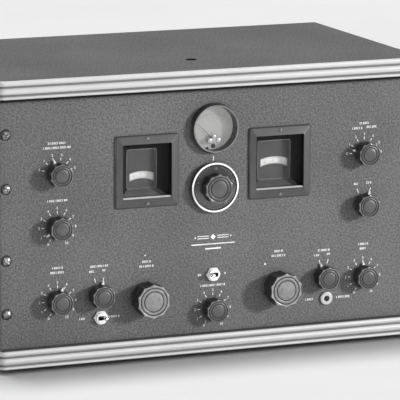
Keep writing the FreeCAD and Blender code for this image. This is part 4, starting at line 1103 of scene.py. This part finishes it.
def make_stage():
    mesh = bpy.data.meshes.new("floor")
    mesh.from_pydata([(-FLOOR_HALF, -FLOOR_HALF, FLOOR), (FLOOR_HALF, -FLOOR_HALF, FLOOR),
                      (FLOOR_HALF, FLOOR_HALF, FLOOR), (-FLOOR_HALF, FLOOR_HALF, FLOOR)],
                     [], [(0, 1, 2, 3)])
    floor = bpy.data.objects.new("floor", mesh)
    bpy.context.scene.collection.objects.link(floor)
    material = new_material("pale_floor")
    cloud = noise(material, 2.0, 4.0)
    dress(material, Base_Color=blend(material, cloud, 0.80, 0.84), Roughness=0.9)
    mesh.materials.append(material)
    return floor


def aim(obj, place, target):
    obj.location = place
    obj.rotation_euler = (Vector(target) - Vector(place)).to_track_quat("-Z", "Y").to_euler()
    bpy.context.scene.collection.objects.link(obj)


def object_lamp(name, power, width, height, place, target, floor):
    """Soft light that leaves the floor alone."""
    light = bpy.data.lights.new(name, "AREA")
    light.shape = "RECTANGLE"
    light.size, light.size_y = width, height
    light.energy = power
    lamp = bpy.data.objects.new(name, light)
    aim(lamp, place, target)
    excluded = bpy.data.collections.new("unlit_by_" + name)
    excluded.objects.link(floor)
    lamp.light_linking.receiver_collection = excluded
    excluded.collection_objects[0].light_linking.link_state = "EXCLUDE"
    return lamp


def sun_lamp(name, power, angle, place):
    sun = bpy.data.lights.new(name, "SUN")
    sun.angle = math.radians(angle)
    sun.energy = power
    aim(bpy.data.objects.new(name, sun), place, (0, 0, 0))


def make_lights(floor):
    """Key, left rim and low bounce for the object, light from above and an even surround."""
    middle = (0, 0, 0.15)
    object_lamp("key", KEY_POWER, 0.55, 0.55, (3.15, -3.0, 1.2), middle, floor)
    object_lamp("rim", RIM_POWER, 0.8, 0.8, (-3.0, -0.95, 0.1), middle, floor)
    card = object_lamp("bounce", BOUNCE_POWER, 0.7, 0.12, (0, -0.55, 0.02), (0, 0, 0.1), floor)
    card.visible_camera = False
    sun_lamp("overhead", OVERHEAD_POWER, 17, (0.1, 0.5, 3.0))
    sun_lamp("fill", FILL_POWER, 40, (0.5, -3.0, 1.5))
    world = bpy.data.worlds.new("studio")
    world.use_nodes = True
    background = world.node_tree.nodes["Background"]
    background.inputs["Color"].default_value = (0.99, 0.99, 1.0, 1.0)
    background.inputs["Strength"].default_value = SURROUND
    bpy.context.scene.world = world
    bpy.context.scene.view_settings.view_transform = "Standard"


def make_camera():
    """Long lens a little above the object and to its left."""
    yaw, pitch, roll = (math.radians(a) for a in (CAMERA_YAW, CAMERA_PITCH, CAMERA_ROLL))
    forward = Vector((math.sin(yaw) * math.cos(pitch), math.cos(yaw) * math.cos(pitch),
                      -math.sin(pitch)))
    right = forward.cross(Vector((0, 0, 1))).normalized()
    up = right.cross(forward)
    side = right * math.cos(roll) + up * math.sin(roll)
    head = up * math.cos(roll) - right * math.sin(roll)
    data = bpy.data.cameras.new("camera")
    data.sensor_width = SENSOR_WIDTH
    data.lens = CAMERA_LENS
    camera = bpy.data.objects.new("camera", data)
    turn = Matrix((side, head, -forward)).transposed().to_4x4()
    camera.matrix_world = Matrix.Translation(CAMERA_PLACE) @ turn
    bpy.context.scene.collection.objects.link(camera)
    bpy.context.scene.camera = camera


make_camera()
make_lights(make_stage())
dress_cad_nodes()
make_knobs()
make_band_skirt()
make_legends()
make_windows()
make_hoods()
make_dial_scales()
make_meter()
make_toggles()
make_lid_pull()
make_seals()
make_valves()
make_can_details()
make_back_details()
make_louvre_lips()
